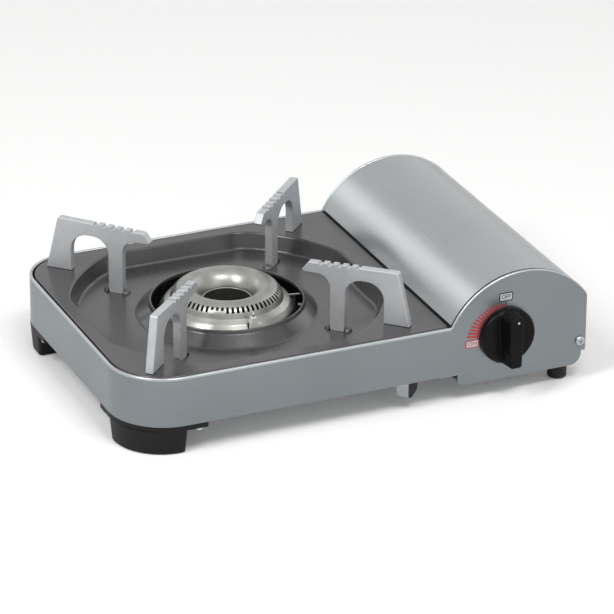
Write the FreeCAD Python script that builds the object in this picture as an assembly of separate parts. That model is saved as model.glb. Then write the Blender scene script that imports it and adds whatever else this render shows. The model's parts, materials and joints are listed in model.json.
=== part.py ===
import FreeCAD, Part
import math
import os

V = FreeCAD.Vector

# Butane cassette stove, in millimetres.
# While it is drawn, x runs from the casing's left face to the right, y from its front face to the back
# and z up from the table. place() then moves every piece to the middle of the stove's footprint.

# Casing
width = 351.6             # left face of the casing to the right edge of the end panels
depth = 229.0             # front face to rear face
rim_height = 58.8         # table to the top of the casing's rim
base_height = 21.5        # table to the underside of the casing
corner_radius = 42.0      # front left corner of the casing, seen from above
rear_corner_radius = 36.0
sheet = 0.8               # painted steel sheet
rim_bead = 1.2            # radius of the rolled rim
rim_proud = 0.1           # rim's outside, ahead of the sheet
knuckle = 0.04            # how much the rim swells where two of its runs meet
arch_top = 93.8           # table to the top of the end panels
arch_radius = 62.0        # arc of the end panels
arch_to_right = 51.3      # arc's centre to the right edge
arch_corner = 7.0         # rounded corner where the arc meets the right edge
skirt_bottom = 12.1       # table to the lower edge of the skirts
skirt_left = 249.7
skirt_right_inset = 3.7   # skirt's right edge, in from the panel's
skirt_left_radius = 5.0
skirt_right_radius = 9.0
panel_step = 22.4         # height at which the panel steps in to its skirt

# Base and bay
base_flange = 7.0         # height of the base plate's upturned edge
air_holes = 6             # holes under the burner
air_radius = 3.0
air_circle = 9.5
vent_width = 4.0          # slots in the base, from the burner axis
vent_length = 34.0
vent_in = 64.0
vent_out = 74.0
vent_middle = 6.0
tray_inset = 0.5          # tray's outline, inside the skirts'
tray_flange = 13.0        # tray's foot under the base plate
base_screw_in = 9.2       # its screws, in from the bay
tray_right_top = 22.0     # height of the tray's right wall
partition_x = 245.0       # left face of the partition
partition_drop = 0.2      # partition's top edge, below the rim
partition_foot = 8.0
window_clear = 2.5        # round the tongue, where it passes the partition
rest_width = 22.0         # brackets that carry the top plate
rest_reach = 7.5
rest_leg = 9.0

# Top plate
plate_gap = 1.3           # between the rim and the top plate
plate_drop = 0.3          # top plate's border, below the rim
plate_lip = 4.2           # depth of its turned-down edge
plate_to_partition = 1.1
burner_x = 119.8          # burner axis
recess_radius = 112.5     # round part of the recess, at the border
recess_half_x = 106.0     # its two flat sides
recess_half_y = 100.0     # its flat front and back
recess_blend = 25.0       # between the flats and the round part
recess_depth = 12.0
recess_draft = 4.5        # how far the recess wall leans in
recess_crease = 1.6       # radius of the recess's upper crease
recess_cove = 2.4         # radius at the foot of the recess wall
collar_base = 65.6        # radius of the collar's foot
collar_rim = 55.5         # radius of the collar's rim
collar_below = 2.1        # collar's rim, below the border
collar_bead = 1.0

# Pan supports: one upright plate each, pointing at the burner; r is the distance from the burner axis
support_thickness = 6.0
outer_foot_out = 140.8
outer_foot_in = 121.0
outer_top = 131.5         # outer end of the top edge
support_height = 40.5     # above the border
support_fall = 2.3        # how much lower the top edge is at the tip
tip_r = 60.5
tip_back = 3.2            # top corner of the tip, behind the tip
tip_nose = 1.8            # tip's lower corner, ahead of the tip
tip_height = 30.2         # underside of the tip above the border
inner_leg_in = 80.3
inner_leg_out = 91.6
inner_foot_taper = 0.8
arch_height = 29.8        # underside of the arch above the border
leg_round = 10.0
arch_round = 13.0
support_edge = 0.7        # rounding of the casting's edges
notch_first = 73.0        # innermost notch
notch_pitch = 7.1
notch_count = 5
notch_width = 3.0
notch_depth = 1.9
tab_radius = 4.2          # raised tabs at the inner feet
tab_rise = 3.0
tab_gap = 0.6
support_screw = 1.5       # radius of the screws under the supports
support_screw_deep = 8.0
support_screw_head = 2.8

# Burner, heights from the rim
cap_lip = 41.0
cap_lip_z = -0.6
cap_slot_out = 39.7       # lower end of the slotted cone
cap_slot_out_z = 2.6
cap_slot_in = 35.8        # its upper end
cap_slot_in_z = 6.8
cap_crest = 30.5
cap_crest_z = 8.5
cap_hole = 18.4           # radius of the central hole
cap_hole_z = -2.0
cap_wall = 1.2
slot_count = 64
slot_group = 16           # each group has slots_short short ones
slots_short = 3
slot_width = 1.9
slot_margin = 0.3         # between a slot and the band's edge
slot_short = 1.5          # how much earlier the short ones end
slot_turn = -123.0        # direction of the middle of one short group
bowl_wall = 1.2
bowl_radius = 39.4
bowl_floor = 26.0         # table to the underside of the bowl
bowl_skirt = 50.6         # outer radius of the flared skirt
bowl_skirt_z = -13.0
throat_inner = 17.0
electrode_gap = 0.5       # between the ceramic block and the notch in the skirt
stay_turn = -13.0         # direction of the strip over the gap
stay_width = 1.6
stay_reach = 53.2
stay_z = -4.0
bracket_width = 26.0
bracket_foot = 11.0
bracket_reach = 31.0
bracket_sheet = 1.2

# Gas way
tube_radius = 9.0
tube_wall = 1.0
tube_z = 35.5
tube_x = -0.8             # direction of the mixing tube, from the nozzle to the burner
tube_y = 0.6
tube_length = 86.8        # trumpet mouth to the burner axis side of the bowl wall
trumpet_radius = 12.0
trumpet_length = 9.0
nozzle_gap = 8.0          # nozzle tip to the trumpet mouth
nozzle_radius = 4.0
nozzle_length = 16.0
nozzle_tip = 5.0
pipe_radius = 2.5
pipe_bend = 9.0
nut_radius = 5.2
nut_length = 6.0
holder_width = 24.0
holder_top = 44.0
holder_sheet = 1.5
holder_foot = 11.0

# Gas cartridge, which isn't part of the stove, and what carries it
can_radius = 34.0
can_length = 186.0
can_fit = 0.6
cradle_wall = 1.0
cradle_left = 150.0       # degrees from the right-hand horizontal, round the underside
cradle_right = 45.0
cradle_start = 62.0
cradle_length = 124.0
tongue_start = 101.0
tongue_length = 30.0
tongue_end_gap = 1.2

# Valve and governor, behind the front panel
knob_x = 287.1
knob_z = 46.6
spindle_radius = 4.0
spindle_fit = 0.05        # running clearance
panel_hole = 5.5
bonnet_radius = 9.0
bonnet_length = 2.0
cam_gap = 0.6
cam_length = 4.0
cam_small = 7.0
cam_lift = 4.0
knob_turn = 95.0          # degrees from OFF to ON
governor_y = 8.0
governor_length = 15.0
governor_half = 22.0
governor_half_z = 11.0
diaphragm_radius = 10.4
diaphragm_forward = 3.1   # diaphragm's axis, ahead of the governor's middle
diaphragm_neck = 7.0
diaphragm_screw_r = 8.6
diaphragm_screw = 1.0
diaphragm_screw_head = 1.7
socket_radius = 9.0
socket_bore = 4.5
socket_length = 7.0
seal_radius = 6.5
yoke_sheet = 1.5
yoke_half = 30.0
yoke_half_z = 12.0
magnet_offset = 20.0
magnet_size = 11.0
magnet_length = 4.0
release_travel = 3.0
release_ring_outer = 12.6
release_ring_length = 2.0
release_back = 0.5
release_play = 0.35       # between the release ring and the magnets
key_width = 5.0
key_rise = 20.5           # top of the key above the cartridge's axis
key_thick = 1.2
key_reach = 3.0           # nib's end, behind the magnets' faces
governor_bracket_width = 30.0

# Piezo igniter
case_side = 9.6
case_length = 20.0
plunger_side = 4.6
plunger_out = 9.0
plunger_fit = 0.1
plunger_gap = 0.35
lead_radius = 1.25
electrode_r = 49.4        # ceramic block, from the burner axis
block_width = 5.4         # at the shoulder
block_narrow = 4.2        # at the top
block_depth = 3.8
block_top = 3.3           # above the rim
block_bottom = -24.0
block_shoulder = 8.4
block_shoulder_z = -1.6
wire_radius = 0.55
wire_up = 7.6
wire_in = 42.6
clip_sheet = 1.0

# Knob
knob_radius = 21.0
knob_flange = 5.0
knob_depth = 17.5
knob_clear = 0.6          # between the knob and the panel
grip_half = 5.0           # half width of the grip at its crest
grip_flare = 9.0          # half width where it leaves the disc
grip_down = 20.9          # grip's reach below the axis, where it leaves the disc
grip_up = 20.3            # and above
grip_lean = 1.3           # how far its ends lean in towards the crest
knob_round = 1.2
knob_bore_deep = 11.0

# Lid
lid_flush = 0.2           # lid's outer face, inside the panel arc
lid_gap = 0.8             # lid's ends to the panels' rolled edge
lid_left_edge = 59.6
lid_right_edge = 25.2
lid_return = 6.0          # width of its turned-in ends
ear_reach = 10.0
ear_top = 40.0
hinge_inset = 5.2         # hinge axis, in from the panel's right edge
hinge_z = 30.7
hinge_radius = 2.0
hinge_fit = 0.05
lid_open = 105.0

# Feet
foot_flange_reach = 59.0
foot_flange_thick = 3.8
foot_block = 44.0
foot_inset = 0.8
foot_taper = 1.4
foot_bend_less = 4.0      # how much tighter its outer corner is than the casing's
foot_ear = 14.0           # width of the flange beside the block
foot_round = 3.0
foot_hollow = 3.0
foot_hollow_deep = 14.0
foot_rib = 2.5
foot_screw_place = 52.5   # from the corner, along the flange
foot_screw_in = 3.7
round_foot_radius = 7.0
round_foot_in_x = 16.6    # from the panel's right edge
round_foot_in_y = 12.0

# Fasteners
head_radius = 3.5
head_height = 2.0
shank_radius = 1.5
cross_width = 0.8
cross_reach = 1.9
cross_deep = 1.1

# Small lug under the front edge
lug_fold = 211.8          # fold of the bright wing
lug_front = 1.2
lug_bottom = 10.0         # table to the wing's lower edge
lug_wing = 9.2
lug_wing_turn = 129.4     # wing's direction seen from above; 0 degrees points to the right
lug_sheet = 1.2
lug_foot_depth = 12.0
pad_width = 7.1
pad_thick = 4.0
pad_bottom = 9.3

# Places worked out from the sizes above
front_axis = V(0, 1, 0)
up_axis = V(0, 0, 1)
burner_y = depth / 2
arch_x = width - arch_to_right
arch_z = arch_top - arch_radius
border_z = rim_height - plate_drop
floor_z = border_z - recess_depth
plate_right = partition_x - plate_to_partition
plate_edge = 2 * rim_bead + plate_gap
base_top = base_height + sheet
tray_floor = skirt_bottom + tray_inset + sheet
can_z = tray_floor + cradle_wall + can_fit + can_radius
lid_front = 2 * rim_bead + lid_gap
skirt_right = width - skirt_right_inset
bay_left = skirt_left + tray_inset
governor_back = governor_y + governor_length
yoke_back = governor_back + yoke_sheet
can_front = yoke_back + magnet_length
hinge_x = width - hinge_inset
knob_front = knob_clear + knob_depth
diaphragm_y = governor_y + governor_length / 2 - diaphragm_forward


def box(x0, x1, y0, y1, z0, z1):
    return Part.makeBox(x1 - x0, y1 - y0, z1 - z0, V(x0, y0, z0))


def rod(start, axis, radius, length):
    return Part.makeCylinder(radius, length, start, axis)


def cone(start, axis, radius0, radius1, length):
    return Part.makeCone(radius0, radius1, length, start, axis)


def join(shapes):
    shapes = list(shapes)
    whole = shapes[0]
    if len(shapes) > 1:
        whole = whole.fuse(shapes[1:])
    return whole.removeSplitter()


def mirrored_y(shape):
    """The same piece at the other end of the stove."""
    return shape.mirror(V(0, depth / 2, 0), front_axis)


def turned(shape, degrees):
    """The piece turned about the burner axis."""
    return shape.rotated(V(burner_x, burner_y, 0), up_axis, degrees)


def rounded_wire(corners, at):
    """A closed outline of straight sides with rounded corners. Each corner is (u, v, radius)."""
    count = len(corners)
    marks = []
    for i in range(count):
        u, v, radius = corners[i]
        here = V(u, v, 0)
        back = V(corners[i - 1][0], corners[i - 1][1], 0) - here
        ahead = V(corners[(i + 1) % count][0], corners[(i + 1) % count][1], 0) - here
        if radius == 0:
            marks.append((here, None, here))
            continue
        back.normalize()
        ahead.normalize()
        half = back.getAngle(ahead) / 2
        middle = back + ahead
        middle.normalize()
        run = radius / math.tan(half)
        crest = here + middle * (radius / math.sin(half) - radius)
        marks.append((here + back * run, crest, here + ahead * run))
    edges = []
    for i in range(count):
        start, crest, end = marks[i]
        before = marks[i - 1][2]
        if before.distanceToPoint(start) > 1e-6:
            edges.append(Part.LineSegment(at(before.x, before.y), at(start.x, start.y)).toShape())
        if crest is not None:
            arc = Part.Arc(at(start.x, start.y), at(crest.x, crest.y), at(end.x, end.y))
            edges.append(arc.toShape())
    return Part.Wire(edges)


def flat(z):
    """Places an outline's (u, v) at (x, y) on the height z."""
    return lambda u, v: V(u, v, z)


def upright(y):
    """Places an outline's (u, v) at (x, z) on the upright plane at y."""
    return lambda u, v: V(u, y, v)


def plan_prism(corners, z0, z1):
    return Part.Face(rounded_wire(corners, flat(z0))).extrude(V(0, 0, z1 - z0))


def end_prism(corners, y0, y1):
    return Part.Face(rounded_wire(corners, upright(y0))).extrude(V(0, y1 - y0, 0))


def about_burner(points):
    """A ring round the burner axis. Its section is a list of (radius, z) corners with roundings."""
    section = rounded_wire(points, upright(0))
    ring = Part.Face(section).revolve(V(0, 0, 0), up_axis, 360)
    ring.translate(V(burner_x, burner_y, 0))
    return ring


def pipe(points, bends, radius):
    """A round bar along straight runs joined by tangent arcs of the radii in bends."""
    edges = []
    last = points[0]
    for i in range(1, len(points) - 1):
        back = points[i - 1] - points[i]
        ahead = points[i + 1] - points[i]
        back.normalize()
        ahead.normalize()
        half = back.getAngle(ahead) / 2
        run = bends[i - 1] / math.tan(half)
        middle = back + ahead
        middle.normalize()
        crest = points[i] + middle * (bends[i - 1] / math.sin(half) - bends[i - 1])
        start = points[i] + back * run
        end = points[i] + ahead * run
        if last.distanceToPoint(start) > 1e-6:
            edges.append(Part.LineSegment(last, start).toShape())
        edges.append(Part.Arc(start, crest, end).toShape())
        last = end
    edges.append(Part.LineSegment(last, points[-1]).toShape())
    axis = points[1] - points[0]
    ring = Part.Wire([Part.makeCircle(radius, points[0], axis)])
    return Part.Wire(edges).makePipeShell([ring], True, True)


def edges_where(shape, test):
    return [edge for edge in shape.Edges if test(edge)]


def softened(shape, radius, test):
    """The shape with the edges that pass the test rounded."""
    chosen = edges_where(shape, test)
    return shape.makeFillet(radius, chosen) if chosen else shape


def screw(place, axis, length, radius=shank_radius, head=head_radius):
    """A pan-head screw. axis points the way the shank goes; place is under the head."""
    out = axis * -1
    top = rod(place, out, head, head_height)
    top = softened(top, head_height * 0.55, lambda e: (e.CenterOfMass - place).dot(out) > head_height * 0.9)
    body = top.fuse(rod(place, axis, radius, length))
    side = V(0, 0, 1) if abs(axis.z) < 0.5 else V(1, 0, 0)
    other = axis.cross(side)
    for one, two in ((side, other), (other, side)):
        corner = place + out * (head_height - cross_deep) - one * cross_reach - two * (cross_width / 2)
        far = [corner, corner + one * (2 * cross_reach)]
        far += [far[1] + two * cross_width, corner + two * cross_width, corner]
        body = body.cut(Part.Face(Part.makePolygon(far)).extrude(out * (cross_deep * 2)))
    return body


def place(shape):
    """Moves a piece from the casing's front left corner to the middle of the footprint."""
    front = -knob_front
    back = depth + head_height
    shape.translate(V(-width / 2, -(front + back) / 2, 0))
    return shape


# Casing

def bay_marks(inset):
    """The arc of an end panel and its rounded corner, set in by inset: the points that shape them."""
    radius = arch_radius - inset
    side = width - inset
    corner = arch_corner - inset
    blend_x = side - corner
    blend_z = arch_z + math.sqrt((radius - corner) ** 2 - (blend_x - arch_x) ** 2)
    meet = math.atan2(blend_z - arch_z, blend_x - arch_x)
    return {
        "radius": radius,
        "side": side,
        "arc_end": (arch_x + radius * math.cos(meet), arch_z + radius * math.sin(meet)),
        "blend_mid": (blend_x + corner * math.cos(meet / 2), blend_z + corner * math.sin(meet / 2)),
        "side_top": (side, blend_z),
    }


def bay_wire(inset, bottom, at):
    """Outline of the bay's end, as a closed D with a flat right side."""
    m = bay_marks(inset)
    left = arch_x - math.sqrt(m["radius"] ** 2 - (bottom - arch_z) ** 2)
    edges = [
        Part.Arc(at(left, bottom), at(arch_x, arch_z + m["radius"]), at(*m["arc_end"])).toShape(),
        Part.Arc(at(*m["arc_end"]), at(*m["blend_mid"]), at(*m["side_top"])).toShape(),
        Part.LineSegment(at(*m["side_top"]), at(m["side"], bottom)).toShape(),
        Part.LineSegment(at(m["side"], bottom), at(left, bottom)).toShape(),
    ]
    return Part.Wire(edges)


def bay_prism(inset, bottom, y0, y1):
    return Part.Face(bay_wire(inset, bottom, upright(y0))).extrude(V(0, y1 - y0, 0))


def casing_plan(inset, z0, z1, right):
    """The casing's plan, open to the right, as a solid."""
    corners = [
        (right, inset, 0),
        (inset, inset, corner_radius - inset),
        (inset, depth - inset, rear_corner_radius - inset),
        (right, depth - inset, 0),
    ]
    return plan_prism(corners, z0, z1)


def skirt_outline(inset, top):
    return [
        (skirt_left + inset, top, 0),
        (skirt_left + inset, skirt_bottom + inset, skirt_left_radius - inset),
        (skirt_right - inset, skirt_bottom + inset, skirt_right_radius - inset),
        (skirt_right - inset, top, 0),
    ]


def curved_bar(start, pivot, axis, degrees, radius):
    """A round bar that bends from start about the axis through pivot."""
    along = axis.cross(start - pivot)
    section = Part.Face(Part.Wire([Part.makeCircle(radius, start, along)]))
    return section.revolve(pivot, axis, degrees)


def side_rim(bend):
    """The rolled rim along the front, from a left corner of radius bend to the end panel's right edge."""
    m = bay_marks(rim_bead)
    z = rim_height - rim_bead
    joint_x = arch_x - math.sqrt(m["radius"] ** 2 - (z - arch_z) ** 2)
    at = upright(rim_bead)
    joint = at(joint_x, z)
    arc_end = at(*m["arc_end"])
    side_top = at(*m["side_top"])
    bend_start = at(bend, z)
    first = math.atan2(z - arch_z, joint_x - arch_x)
    last = math.atan2(m["arc_end"][1] - arch_z, m["arc_end"][0] - arch_x)
    foot = panel_step + rim_bead
    return [
        rod(bend_start, V(1, 0, 0), rim_bead, joint_x - bend),
        curved_bar(bend_start, bend_start + V(0, bend - rim_bead, 0), V(0, 0, -1), 90, rim_bead),
        curved_bar(joint, at(arch_x, arch_z), front_axis, math.degrees(first - last), rim_bead),
        curved_bar(arc_end, at(side_top.x - arch_corner + rim_bead, side_top.z), front_axis,
                   math.degrees(last), rim_bead),
        rod(at(side_top.x, foot), up_axis, rim_bead, side_top.z - foot),
        Part.makeSphere(rim_bead + knuckle, joint),
        Part.makeSphere(rim_bead + knuckle, at(side_top.x, foot)),
    ]


def rim_bars():
    """The rolled rim along the left part, and the rolled edges of the two end panels."""
    start = V(rim_bead, corner_radius, rim_height - rim_bead)
    left = rod(start, front_axis, rim_bead, depth - corner_radius - rear_corner_radius)
    rear = [mirrored_y(piece) for piece in side_rim(rear_corner_radius)]
    return side_rim(corner_radius) + rear + [left]


def body_shell():
    top = arch_top + 1
    hollow = casing_plan(sheet, skirt_bottom - 2, top + 1, width + 1)
    wall = casing_plan(rim_proud, skirt_bottom - 1, top, width).cut(hollow)
    low_rim = rim_height - rim_bead
    band = end_prism([(-1, base_height, 0), (skirt_left + 8, base_height, 0), (skirt_left + 8, low_rim, 0),
                      (-1, low_rim, 0)], -1, depth + 1)
    skirt = end_prism(skirt_outline(0, panel_step + 2), -1, depth + 1)
    bay = bay_prism(rim_bead, panel_step + rim_bead, -1, depth + 1)
    heel = box(arch_x, width - rim_bead, -1, depth + 1, panel_step, panel_step + 2 * rim_bead)
    profile = join([band, skirt, bay, heel])
    shell = wall.common(profile)
    shell = join([shell] + rim_bars())
    shell = shell.cut(rod(V(knob_x, -1, knob_z), front_axis, panel_hole, sheet + 2))
    for y in (-1, depth - 2 * rim_bead - 1):
        shell = shell.cut(rod(V(hinge_x, y, hinge_z), front_axis, hinge_radius, 2 * rim_bead + 2))
    return shell


def base_plate():
    right = bay_left + sheet
    outer = casing_plan(sheet, base_height, base_top + base_flange, right)
    inner = casing_plan(2 * sheet, base_top, base_top + base_flange + 1, right + 1)
    plate = outer.cut(inner)
    cuts = []
    for i in range(air_holes):
        hole = rod(V(burner_x + air_circle, burner_y, base_height - 1), up_axis, air_radius, sheet + 2)
        cuts.append(turned(hole, i * 360.0 / air_holes))
    half = vent_width / 2
    for x in (-vent_out, -vent_in, vent_in, vent_out):
        for y in (-vent_length - vent_middle, vent_middle):
            corners = [(burner_x + x - half, burner_y + y, half - 0.1),
                       (burner_x + x + half, burner_y + y, half - 0.1),
                       (burner_x + x + half, burner_y + y + vent_length, half - 0.1),
                       (burner_x + x - half, burner_y + y + vent_length, half - 0.1)]
            cuts.append(plan_prism(corners, base_height - 1, base_top + 1))
    return plate.cut(cuts)


def cartridge_tray():
    y0, y1 = sheet, depth - sheet
    outer = skirt_outline(tray_inset, tray_right_top)
    inner = skirt_outline(tray_inset + sheet, tray_right_top + 1)
    tray = end_prism(outer, y0, y1).cut(end_prism(inner, y0 - 1, y1 + 1))
    left = bay_left
    tray = tray.cut(box(left - 1, left + sheet + 1, y0 - 1, y1 + 1, base_height, tray_right_top + 2))
    flange = box(left - tray_flange, left + sheet, y0, y1, base_height - sheet, base_height)
    return join([tray, flange])


def partition_plate():
    y0, y1 = 2 * rim_bead + 0.2, depth - 2 * rim_bead - 0.2
    top = rim_height - partition_drop
    wall = box(partition_x, partition_x + sheet, y0, y1, base_top, top)
    foot = box(partition_x - partition_foot, partition_x, 12, depth - 12, base_top, base_top + sheet)
    hem = box(partition_x + sheet, partition_x + 2 * sheet, y0 + 20, y1 - 20, top - 5, top)
    left, right = partition_x - 1, partition_x + sheet + 1
    gas_window = box(left, right, -1, 34, base_top + 4, tube_z + 17)
    low = cradle_tongue_z() - window_clear
    high = low + cradle_wall + 2 * window_clear
    start = tongue_start - window_clear
    heat_window = box(left, right, start, start + tongue_length + 2 * window_clear, low, high)
    return join([wall, foot, hem]).cut([gas_window, heat_window])


def plate_rests():
    """Bent brackets on the walls that carry the top plate's lip."""
    top = border_z - plate_lip

    def bracket(along):
        a, b = along - rest_width / 2, along + rest_width / 2
        leg = box(a, b, sheet, 2 * sheet, top - rest_leg, top)
        shelf = box(a, b, sheet, sheet + rest_reach, top - sheet, top)
        return leg.fuse(shelf).removeSplitter()

    rests = []
    for x in (burner_x - 58, burner_x + 58):
        rests += [bracket(x), mirrored_y(bracket(x))]
    for y in (burner_y - 55, burner_y + 55):
        left = bracket(0).rotated(V(0, 0, 0), up_axis, -90)
        left.translate(V(0, y, 0))
        right = bracket(0).rotated(V(0, 0, 0), up_axis, 90)
        right.translate(V(partition_x + sheet, y, 0))
        rests += [left, right]
    return Part.makeCompound(rests)


def base_screws():
    """Screws that hold the tray's foot to the base plate."""
    low = base_height - sheet
    return Part.makeCompound([screw(V(x, y, low), up_axis, 6.0) for x, y in tray_flange_spots()])


def tray_flange_spots():
    return [(bay_left - base_screw_in, y) for y in (30.0, depth / 2 - 30, depth / 2 + 30, depth - 30)]


def screw_holes(shape, spots, low, high):
    return shape.cut([rod(V(x, y, low), up_axis, shank_radius, high - low) for x, y in spots])


# Top plate and pan supports

def recess_wire(offset, z):
    """The recess seen from above: a circle with four flat sides, blended."""
    radius = recess_radius + offset
    blend = recess_blend + offset
    edges = []
    for quarter in range(4):
        turn = quarter * 90.0
        near, far = (recess_half_x, recess_half_y) if quarter % 2 == 0 else (recess_half_y, recess_half_x)
        side = near + offset
        nxt = far + offset
        reach = math.sqrt((radius - blend) ** 2 - (side - blend) ** 2)
        reach_next = math.sqrt((radius - blend) ** 2 - (nxt - blend) ** 2)
        a0 = math.atan2(reach, side - blend)
        a1 = math.atan2(nxt - blend, reach_next)

        def spot(u, v):
            c, s = math.cos(math.radians(turn)), math.sin(math.radians(turn))
            return V(burner_x + u * c - v * s, burner_y + u * s + v * c, z)

        flat_start = spot(side, -reach)
        flat_end = spot(side, reach)
        edges.append(Part.LineSegment(flat_start, flat_end).toShape())
        mid = a0 / 2
        blend_mid = spot(side - blend + blend * math.cos(mid), reach + blend * math.sin(mid))
        round_start = spot(radius * math.cos(a0), radius * math.sin(a0))
        edges.append(Part.Arc(flat_end, blend_mid, round_start).toShape())
        both = (a0 + a1) / 2
        round_end = spot(radius * math.cos(a1), radius * math.sin(a1))
        round_mid = spot(radius * math.cos(both), radius * math.sin(both))
        edges.append(Part.Arc(round_start, round_mid, round_end).toShape())
        late = (a1 + math.pi / 2) / 2
        late_mid = spot(reach_next + blend * math.cos(late), nxt - blend + blend * math.sin(late))
        edges.append(Part.Arc(round_end, late_mid, spot(reach_next, nxt)).toShape())
    return Part.Wire(edges)


def recess_block(grow, top, bottom):
    """The recess as a solid with leaning sides; grow is the sheet round it."""
    lean = recess_draft / recess_depth
    wide = recess_wire(grow + lean * (top - border_z), top)
    narrow = recess_wire(grow - lean * (border_z - bottom), bottom)
    return Part.makeLoft([wide, narrow], True, True)


def plate_plan(inset, z0, z1):
    edge = plate_edge + inset
    return plan_prism([(plate_right - inset, edge, 3.0), (edge, edge, corner_radius - edge),
                       (edge, depth - edge, rear_corner_radius - edge),
                       (plate_right - inset, depth - edge, 3.0)], z0, z1)


def collar():
    """The raised collar round the burner, with a rolled rim."""
    under = floor_z - sheet
    rim_z = border_z - collar_below
    lean = 1.3
    return about_burner([
        (collar_base + 4, floor_z, 0),
        (collar_base, floor_z, 3.0),
        (collar_rim + lean, rim_z - 2.6, 2.0),
        (collar_rim + 0.2, rim_z, 0.9),
        (collar_rim - collar_bead, rim_z, 0.6),
        (collar_rim - collar_bead, rim_z - 2.2, 0),
        (collar_rim + lean - sheet - 0.2, rim_z - 2.8, 1.4),
        (collar_base - 1.1, under, 2.2),
        (collar_base + 4, under, 0),
    ])


def support_spots():
    """Turn of each pan support about the burner axis; 0 degrees points to the right."""
    return {"rear_right": 45.0, "rear_left": 135.0, "front_left": 225.0, "front_right": 315.0}


def screw_radii():
    return [(outer_foot_in + outer_foot_out) / 2, (inner_leg_in + inner_leg_out) / 2]


def top_plate():
    top = plate_plan(0, border_z - plate_lip, border_z)
    top = softened(top, 1.0, lambda e: e.BoundBox.ZMin > border_z - 0.01)
    cap = top.cut(plate_plan(sheet, border_z - plate_lip - 1, border_z - sheet))
    cap = cap.cut(recess_block(0, border_z + 1, floor_z))
    pan = recess_block(sheet, border_z - sheet / 2, floor_z - sheet)
    pan = pan.cut(recess_block(0, border_z + 1, floor_z))
    plate = join([cap, pan])
    plate = plate.cut(rod(V(burner_x, burner_y, floor_z - 3), up_axis, collar_base + 3, 6))
    low = border_z - 0.01
    plate = softened(plate, recess_crease, lambda e: e.BoundBox.ZMin > low and on_recess(e))
    plate = softened(plate, recess_cove, lambda e: abs(e.BoundBox.ZMax - floor_z) < 0.01
                     and abs(e.BoundBox.ZMin - floor_z) < 0.01 and far_from_burner(e) > collar_base + 10)
    plate = join([plate, collar()])
    holes = []
    for turn in support_spots().values():
        for radius in screw_radii():
            hole = rod(V(burner_x + radius, burner_y, floor_z - 3), up_axis, support_screw, recess_depth + 5)
            holes.append(turned(hole, turn))
    plate = plate.cut(holes)
    return join([plate] + raised_tabs())


def far_from_burner(edge):
    centre = V(burner_x, burner_y, 0)
    point = edge.valueAt((edge.FirstParameter + edge.LastParameter) / 2)
    return math.hypot(point.x - centre.x, point.y - centre.y)


def on_recess(edge):
    return far_from_burner(edge) < recess_radius + 1 and edge.BoundBox.XMax < burner_x + recess_half_x + 1


def raised_tabs():
    """Half domes pressed up from the floor, one at each end of every inner foot."""
    tabs = []
    sphere_r = (tab_radius ** 2 + tab_rise ** 2) / (2 * tab_rise)
    for turn in support_spots().values():
        for radius, away in ((inner_leg_in - tab_gap, -1), (inner_leg_out + tab_gap, 1)):
            centre = V(burner_x + radius, burner_y, floor_z + tab_rise - sphere_r)
            outer = Part.makeSphere(sphere_r, centre)
            inner = Part.makeSphere(sphere_r - sheet, centre)
            x0 = centre.x if away > 0 else centre.x - tab_radius
            half = box(x0, x0 + tab_radius, burner_y - tab_radius, burner_y + tab_radius, floor_z - sheet / 2,
                       floor_z + tab_rise + 1)
            tabs.append(turned(outer.cut(inner).common(half), turn))
    return tabs


def pan_support(turn):
    """One cast support: an upright plate with an outer leg, an arch, an inner leg and an overhanging tip."""
    z = border_z
    high = z + support_height

    def top_at(r):
        return high - support_fall * (outer_top - r) / (outer_top - tip_r)

    outline = [
        (outer_foot_in, z, 0.6),
        (outer_foot_out, z, 0.6),
        (outer_top, high, 2.2),
        (tip_r + tip_back, top_at(tip_r + tip_back), 0.8),
        (tip_r - tip_nose, z + tip_height + 1.5, 0.5),
        (tip_r, z + tip_height, 0.5),
        (inner_leg_in, z + tip_height, leg_round),
        (inner_leg_in, z - recess_depth + 2.0, 0),
        (inner_leg_in + inner_foot_taper, z - recess_depth, 0),
        (inner_leg_out - inner_foot_taper, z - recess_depth, 0),
        (inner_leg_out, z - recess_depth + 2.0, 0),
        (inner_leg_out, z + arch_height, arch_round),
        (outer_foot_in, z + arch_height, arch_round),
    ]
    half = support_thickness / 2
    plate = end_prism(outline, -half, half)
    notches = []
    for i in range(notch_count):
        r = notch_first + i * notch_pitch
        t = top_at(r)
        cut = [(r - notch_width / 2, t + 1, 0), (r + notch_width / 2, t + 1, 0),
               (r + notch_width / 2, t - notch_depth + 0.6, 0), (r, t - notch_depth, 0),
               (r - notch_width / 2, t - notch_depth + 0.6, 0)]
        notches.append(end_prism(cut, -half - 1, half + 1))
    plate = plate.cut(notches)
    lowest, highest = z - recess_depth + 0.5, high - notch_depth - 0.4
    plate = softened(plate, support_edge, lambda e: side_edge(e, half) and e.BoundBox.ZMin > lowest
                     and e.BoundBox.ZMax < highest and e.Length > 2)
    for radius in screw_radii():
        foot = z if radius > inner_leg_out else z - recess_depth
        plate = plate.cut(rod(V(radius, 0, foot - 1), up_axis, support_screw, support_screw_deep + 1))
    plate = plate.rotated(V(0, 0, 0), up_axis, turn)
    plate.translate(V(burner_x, burner_y, 0))
    return plate


def side_edge(edge, half):
    """Whether an edge lies on one of the two faces of a plate that is 2 half thick."""
    return abs(abs(edge.BoundBox.YMin) - half) < 1e-4 and abs(edge.BoundBox.YMax - edge.BoundBox.YMin) < 1e-4


def support_screws():
    screws = []
    for turn in support_spots().values():
        for radius in screw_radii():
            under = (border_z if radius > inner_leg_out else floor_z) - sheet
            spot = V(burner_x + radius, burner_y, under)
            piece = screw(spot, up_axis, sheet + support_screw_deep - 1, support_screw, support_screw_head)
            screws.append(turned(piece, turn))
    return Part.makeCompound(screws)


# Burner

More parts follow.
